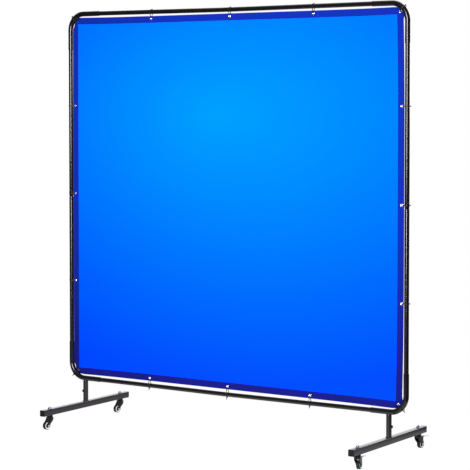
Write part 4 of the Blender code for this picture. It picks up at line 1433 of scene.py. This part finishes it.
@dataclass
class Caster:
    """One swivel caster. Its own X axis runs the way that the wheel trails."""

    name: str
    place: Matrix
    braked: bool
    trail: float = 0.022
    wheel: float = 0.020
    half_width: float = 0.0085
    crown_low: float = 0.050
    crown_high: float = 0.062
    arm_inside: float = 0.0095
    arm: float = 0.003
    pivot: Place = (0.0215, 0.0505)
    nut_turn: float = 0.35
    head_gap: float = 0.0003

    def build(self, lay: Layout) -> None:
        """Build every piece of the caster."""
        self.stem(lay)
        self.nut(lay)
        self.fork()
        self.axle()
        self.tyre_and_core()
        if self.braked:
            self.pedal()

    def at_hub(self) -> Matrix:
        """Place of the wheel's centre, with Z along the axle."""
        hub = Matrix.Translation((self.trail, 0, self.wheel))
        return self.place @ hub @ Matrix.Rotation(-math.pi / 2, 4, "X")

    def stem(self, lay: Layout) -> None:
        """Build the bearing cup, the threaded stem and the kingpin under the crown."""
        race = bmesh.new()
        seat = lay.bar_low - lay.fit
        cup_low = 0.0625
        cup = 0.015
        turn(race, [
            (0.0, self.crown_low - 0.0028), (0.0050, self.crown_low - 0.0028),
            (0.0064, self.crown_low - 0.0018), (0.0064, self.crown_low - 0.0003),
            (0.004, self.crown_low - 0.0003), (0.004, cup_low), (cup - 0.0015, cup_low),
            (cup - 0.0004, cup_low + 0.0005), (cup, cup_low + 0.0015), (cup, seat - 0.0024),
            (cup - 0.0006, seat - 0.0010), (cup - 0.0022, seat), (0.0, seat)], 48, self.place)
        make_piece(f"swivel_race_{self.name}", race, Coat.ENAMEL, "frame")
        mesh = bmesh.new()
        top = lay.bar_low + lay.bar + lay.fit + lay.nut_height + lay.stem_proud
        profile: list[Place] = [(0.0, seat - 0.001), (0.0045, seat - 0.001)]
        pitch = 0.0015
        count = int((top - seat - 0.001) / pitch)
        for number in range(count):
            start = seat + pitch * number
            profile += [(0.0042, start), (0.0049, start + pitch / 2)]
        profile += [(0.0042, top - 0.0008), (0.0036, top), (0.0, top)]
        turn(mesh, profile, 28, self.place)
        make_piece(f"stem_{self.name}", mesh, Coat.ZINC, "frame", [f"caster_stem_{self.name}"])

    def nut(self, lay: Layout) -> None:
        """Build the flanged hex nut on top of the bar."""
        mesh = bmesh.new()
        low = lay.bar_low + lay.bar + lay.fit
        bore = 0.0053
        across = 0.016 / math.sqrt(3)
        turn(mesh, [
            (bore, low), (across, low), (across, low + lay.nut_height - 0.0010),
            (across - 0.0010, low + lay.nut_height), (bore, low + lay.nut_height)],
            6, self.place @ Matrix.Rotation(self.nut_turn, 4, "Z"))
        turn(mesh, [
            (bore, low), (0.0098, low), (0.0100, low + 0.0006), (0.0092, low + 0.0012),
            (bore, low + 0.0012)], 36, self.place)
        make_piece(
            f"nut_{self.name}", mesh, Coat.ZINC, "frame", [f"caster_nut_{self.name}"], Edge(0.0003))

    def arm_outline(self) -> list[Place]:
        """Side view of a fork arm: broad at the crown, sweeping back to the axle.

        Returns:
            Its points in order.
        """
        back = [(-0.0135, 0.0595), (-0.0137, 0.0550), (-0.0133, 0.0505), (-0.0116, 0.0450)]
        back += [(-0.0088, 0.0412), (-0.0052, 0.0378), (0.0002, 0.0330), (0.0050, 0.0286), (0.0092, 0.0246)]
        foot = arc((self.trail, self.wheel), 0.0068, 205, 345, 12)
        if self.braked:
            front = [(0.0289, 0.0240), (0.0282, 0.0330), (0.0273, 0.0430)]
            front += arc(self.pivot, 0.0055, -20, 90, 8)
            return back + foot + front + [(0.0165, 0.0575), (0.0135, 0.0595)]
        front = [(0.0288, 0.0240), (0.0277, 0.0300), (0.0250, 0.0366), (0.0215, 0.0422), (0.0175, 0.0468)]
        return back + foot + front + [(0.0147, 0.0508), (0.0138, 0.0550), (0.0135, 0.0595)]

    def fork(self) -> None:
        """Build the pressed fork: its dished crown, ball race and two arms."""
        mesh = bmesh.new()
        outline = self.arm_outline()
        for side in (-1, 1):
            low, high = sorted((side * self.arm_inside, side * (self.arm_inside + self.arm)))
            prism(mesh, outline, low, high, self.place)
        low, high = self.crown_low, self.crown_high
        turn(mesh, [
            (0.0046, low), (0.0130, low), (0.0150, low + 0.0012), (0.0155, low + 0.0030),
            (0.0155, high - 0.0034), (0.0160, high - 0.0026), (0.0160, high - 0.0012),
            (0.0150, high - 0.0003), (0.0134, high), (0.0046, high)], 48, self.place)
        make_piece(
            f"fork_{self.name}", mesh, Coat.ENAMEL, f"swivel_{self.name}", [f"caster_fork_{self.name}"],
            Edge(0.0006, 3, 50.0))

    def axle(self) -> None:
        """Build the axle bolt: a domed head on one side and a lock nut on the other."""
        mesh = bmesh.new()
        place = self.at_hub()
        out = self.arm_inside + self.arm + self.head_gap
        turn(mesh, [
            (0.0, -out - 0.0021), (0.0022, -out - 0.0019), (0.0040, -out - 0.0011), (0.0048, -out - 0.0003),
            (0.0048, -out), (0.003, -out), (0.003, out + 0.0021), (0.0024, out + 0.0026),
            (0.0, out + 0.0026)], 32, place)
        turn(mesh, [
            (0.0031, out), (0.0048, out), (0.0048, out + 0.0014), (0.0044, out + 0.0017),
            (0.0031, out + 0.0017)], 6, place)
        make_piece(
            f"axle_{self.name}", mesh, Coat.ZINC, f"swivel_{self.name}", [f"caster_axle_{self.name}"],
            Edge(0.0002))

    def tyre_and_core(self) -> None:
        """Build the wheel: a ribbed plastic core and the tread moulded round it."""
        body = f"wheel_{self.name}"
        place = self.at_hub()
        half = self.half_width
        rim = bmesh.new()
        side = [
            (0.0118, 0.0050), (0.0121, half - 0.0010), (0.0126, half - 0.0002), (0.0163, half - 0.0002),
            (0.0167, half - 0.0010)]
        turn(rim, side + [(radius, -up) for radius, up in reversed(side)], 64, place)
        make_piece(f"wheel_rim_{self.name}", rim, Coat.RIM, body)
        core = bmesh.new()
        side = [
            (0.0035, half - 0.0006), (0.0060, half - 0.0006), (0.0066, half - 0.0012), (0.0070, 0.0058),
            (0.0078, 0.0050), (0.0120, 0.0050)]
        turn(core, side + [(radius, -up) for radius, up in reversed(side)], 64, place)
        rib_tree = Repeat("core_ribs", PAINTS.get(Coat.CORE))
        wheel = make_piece(f"wheel_core_{self.name}", core, Coat.CORE, body, [f"caster_wheel_{self.name}"])
        rib = bmesh.new()
        prism(rib, rounded(0.0052, 0.0010, 0.0003, 2), 0.0, 0.0030, Matrix.Rotation(math.pi / 2, 4, "X"))
        places = []
        centre = place.to_translation()
        turned = place.to_3x3()
        for face in (-1, 1):
            for step in range(8):
                angle = 2 * math.pi * step / 8
                along = turned @ Vector((math.cos(angle), math.sin(angle), 0))
                out = turned @ Vector((0, 0, face))
                places.append((centre + 0.0095 * along + 0.0046 * out, out, along))
        ribs = rib_tree.make(f"wheel_ribs_{self.name}", rib, places)
        dress(ribs, Coat.CORE, body)
        tread = bmesh.new()
        profile = [(0.0165, half - 0.0011), (0.0168, half - 0.0003), (0.0172, half), (0.0178, half)]
        profile += arc((0.0172, half - 0.0028), 0.0028, 75, 0, 5)
        outline = profile + [(radius, -up) for radius, up in reversed(profile)]
        turn(tread, outline, 64, place)
        make_piece(f"wheel_tread_{self.name}", tread, Coat.TREAD, body)
        LOG.info("%s has %d faces with its ribs", wheel.name, len(ribs.data.polygons))

    def pedal(self) -> None:
        """Build the brake pedal: ribbed plate, turned-down tip, pivot pin and shoe."""
        mesh = bmesh.new()
        place = self.place
        plate = [
            (0.0330, 0.0515), (0.0690, 0.0515), (0.0728, 0.0511), (0.0762, 0.0494), (0.0786, 0.0474),
            (0.0802, 0.0457), (0.0815, 0.0466), (0.0798, 0.0490), (0.0772, 0.0513), (0.0736, 0.0530),
            (0.0694, 0.0534), (0.0330, 0.0534)]
        # A neck between the fork's arms, then the broad plate that the foot presses.
        neck = [(0.0178, 0.0515), (0.0336, 0.0515), (0.0336, 0.0534), (0.0178, 0.0534)]
        prism(mesh, neck, -0.0087, 0.0087, place)
        prism(mesh, plate, -0.0110, 0.0110, place)
        for y in (-0.0066, 0.0, 0.0066):
            rib = rounded(0.030, 0.0012, 0.0005, 2)
            shifted = [(x + 0.052, z + 0.0536) for x, z in rib]
            prism(mesh, shifted, y - 0.0009, y + 0.0009, place)
        shoe = [(0.0180, 0.0482), (0.0272, 0.0417), (0.0281, 0.0415), (0.0302, 0.0427), (0.0318, 0.0525)]
        prism(mesh, shoe + [(0.0180, 0.0525)], -0.0085, 0.0085, place)
        x, z = self.pivot
        pin = place @ Matrix.Translation((x, 0, z)) @ Matrix.Rotation(-math.pi / 2, 4, "X")
        turn(mesh, [
            (0.0, -0.0122), (0.0018, -0.0122), (0.0022, -0.0118), (0.0022, 0.0118), (0.0018, 0.0122),
            (0.0, 0.0122)], 24, pin)
        make_piece(
            f"pedal_{self.name}", mesh, Coat.ZINC, f"pedal_{self.name}", [f"brake_pedal_{self.name}"],
            Edge(0.0004))


def casters_from_frame() -> list[Caster]:
    """Find the casters by their wheels' axles.

    Returns:
        One caster for each wheel joint.
    """
    found = []
    pedals = {joint["child"] for joint in frame["joints"]}
    for joint in frame["joints"]:
        if not joint["name"].startswith("wheel_roll_"):
            continue
        name = joint["name"].removeprefix("wheel_roll_")
        low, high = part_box(f"caster_stem_{name}")
        spot = Vector(((low[0] + high[0]) / 2, (low[1] + high[1]) / 2, 0))
        axle = Vector(joint["axis"])
        heading = math.atan2(-axle.x, axle.y)
        place = Matrix.Translation(spot) @ Matrix.Rotation(heading, 4, "Z")
        found.append(Caster(name, place, f"pedal_{name}" in pedals))
    return found


# ---------------------------------------------------------------- studio

@dataclass
class Studio:
    """White room and floor, soft boxes and the camera."""

    eye: tuple[float, float, float] = (4.61537, -6.88536, 1.61146)
    azimuth: float = 33.6216
    tilt: float = 2.5191
    lens: float = 133.438
    shift: float = -0.12
    floor_radius: float = 1.35
    floor_light: float = 0.30

    def build(self) -> None:
        """Build the whole studio."""
        self.camera()
        self.floor()
        self.world()
        self.lights()
        view = bpy.context.scene.view_settings
        view.view_transform = "Standard"
        view.look = "None"
        view.exposure = 0.0

    def camera(self) -> None:
        """Set the camera in front of the right-hand side, just below the frame's middle."""
        data = bpy.data.cameras.new("camera")
        data.lens = self.lens
        data.sensor_width = 36.0
        data.shift_y = self.shift
        data.clip_end = 60.0
        camera = bpy.data.objects.new("camera", data)
        bpy.context.scene.collection.objects.link(camera)
        camera.location = self.eye
        camera.rotation_euler = (math.radians(90 - self.tilt), 0, math.radians(self.azimuth))
        bpy.context.scene.camera = camera

    def floor(self) -> None:
        """Lay a round white floor, lit from underneath so that it throws no shadow."""
        mesh = bmesh.new()
        bmesh.ops.create_circle(mesh, cap_ends=True, segments=96, radius=self.floor_radius)
        data = bpy.data.meshes.new("floor")
        mesh.to_mesh(data)
        mesh.free()
        floor = bpy.data.objects.new("floor", data)
        bpy.context.scene.collection.objects.link(floor)
        material = bpy.data.materials.new("lit_white_floor")
        material.use_nodes = True
        shader = material.node_tree.nodes["Principled BSDF"]
        shader.inputs["Base Color"].default_value = (0.02, 0.02, 0.02, 1)
        shader.inputs["Roughness"].default_value = 0.9
        shader.inputs["Specular IOR Level"].default_value = 0.0
        shader.inputs["Emission Color"].default_value = (1, 1, 1, 1)
        shader.inputs["Emission Strength"].default_value = 1.0
        data.materials.append(material)

    def world(self) -> None:
        """Light the room: a white backdrop behind the screen, dimmer in front and below."""
        world = bpy.data.worlds.new("white_room")
        world.use_nodes = True
        bpy.context.scene.world = world
        tree = world.node_tree
        tree.nodes.clear()
        place = add_node(tree, "ShaderNodeTexCoord").outputs["Generated"]
        away = add_node(
            tree, "ShaderNodeVectorMath", {1: (-0.5535, 0.8329, 0.0)}, {0: place}, operation="DOT_PRODUCT")
        ramp = add_node(tree, "ShaderNodeValToRGB", links={"Fac": away.outputs["Value"]})
        ramp.color_ramp.elements[0].position = 0.15
        ramp.color_ramp.elements[0].color = (0.10, 0.10, 0.105, 1)
        ramp.color_ramp.elements[1].position = 1.0
        ramp.color_ramp.elements[1].color = (2.4, 2.4, 2.4, 1)
        ramp.color_ramp.elements.new(0.80).color = (0.8, 0.8, 0.8, 1)
        height = add_node(
            tree, "ShaderNodeVectorMath", {1: (0.0, 0.0, 1.0)}, {0: place}, operation="DOT_PRODUCT")
        low = add_node(tree, "ShaderNodeValToRGB", links={"Fac": height.outputs["Value"]})
        low.color_ramp.elements[0].position = 0.0
        low.color_ramp.elements[0].color = (self.floor_light, self.floor_light, self.floor_light, 1)
        low.color_ramp.elements[1].position = 0.06
        low.color_ramp.elements[1].color = (1, 1, 1, 1)
        shaded = add_node(
            tree, "ShaderNodeVectorMath",
            links={0: ramp.outputs["Color"], 1: low.outputs["Color"]}, operation="MULTIPLY")
        room = add_node(tree, "ShaderNodeBackground", {"Strength": 1.0}, {"Color": shaded.outputs[0]})
        backdrop = add_node(tree, "ShaderNodeBackground", {"Color": (1, 1, 1, 1), "Strength": 1.0})
        path = add_node(tree, "ShaderNodeLightPath")
        mix = add_node(
            tree, "ShaderNodeMixShader",
            links={0: path.outputs["Is Camera Ray"], 1: room.outputs[0], 2: backdrop.outputs[0]})
        add_node(tree, "ShaderNodeOutputWorld", links={"Surface": mix.outputs[0]})

    def lights(self) -> None:
        """Hang the soft boxes: a tall key in front, one above and one behind."""
        self.soft_box("key", (1.5, -5.3, 2.0), (0.0, 0.0, 1.3), (1.5, 3.2), 520)
        self.soft_box("top", (0.0, 0.6, 4.6), (0.0, 0.0, 0.0), (4.0, 2.0), 40)
        self.soft_box("rear", (1.0, 4.5, 2.6), (0.0, 0.0, 1.1), (3.0, 2.4), 120)

    def soft_box(
        self,
        name: str,
        spot: tuple[float, float, float],
        aim: tuple[float, float, float],
        size: Place,
        watts: float,
    ) -> None:
        """Hang one soft box.

        Args:
            name: its name.
            spot: where it hangs.
            aim: what it points at.
            size: its width and height.
            watts: its power.
        """
        data = bpy.data.lights.new(name, "AREA")
        data.shape = "RECTANGLE"
        data.size, data.size_y = size
        data.energy = watts
        light = bpy.data.objects.new(name, data)
        bpy.context.scene.collection.objects.link(light)
        light.location = spot
        light.rotation_euler = (Vector(aim) - Vector(spot)).to_track_quat("-Z", "Y").to_euler()


def main() -> None:
    """Build the screen's looks in order."""
    logging.basicConfig(level=logging.INFO, format="%(name)s: %(message)s")
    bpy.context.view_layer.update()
    lay = Layout()
    Studio().build()
    TubeFrame(lay).build()
    BaseBars(lay).build()
    curtain = Curtain(lay)
    curtain.build()
    CableTies(lay, curtain).build()
    for caster in casters_from_frame():
        caster.build(lay)


if __name__ == "__main__":
    main()
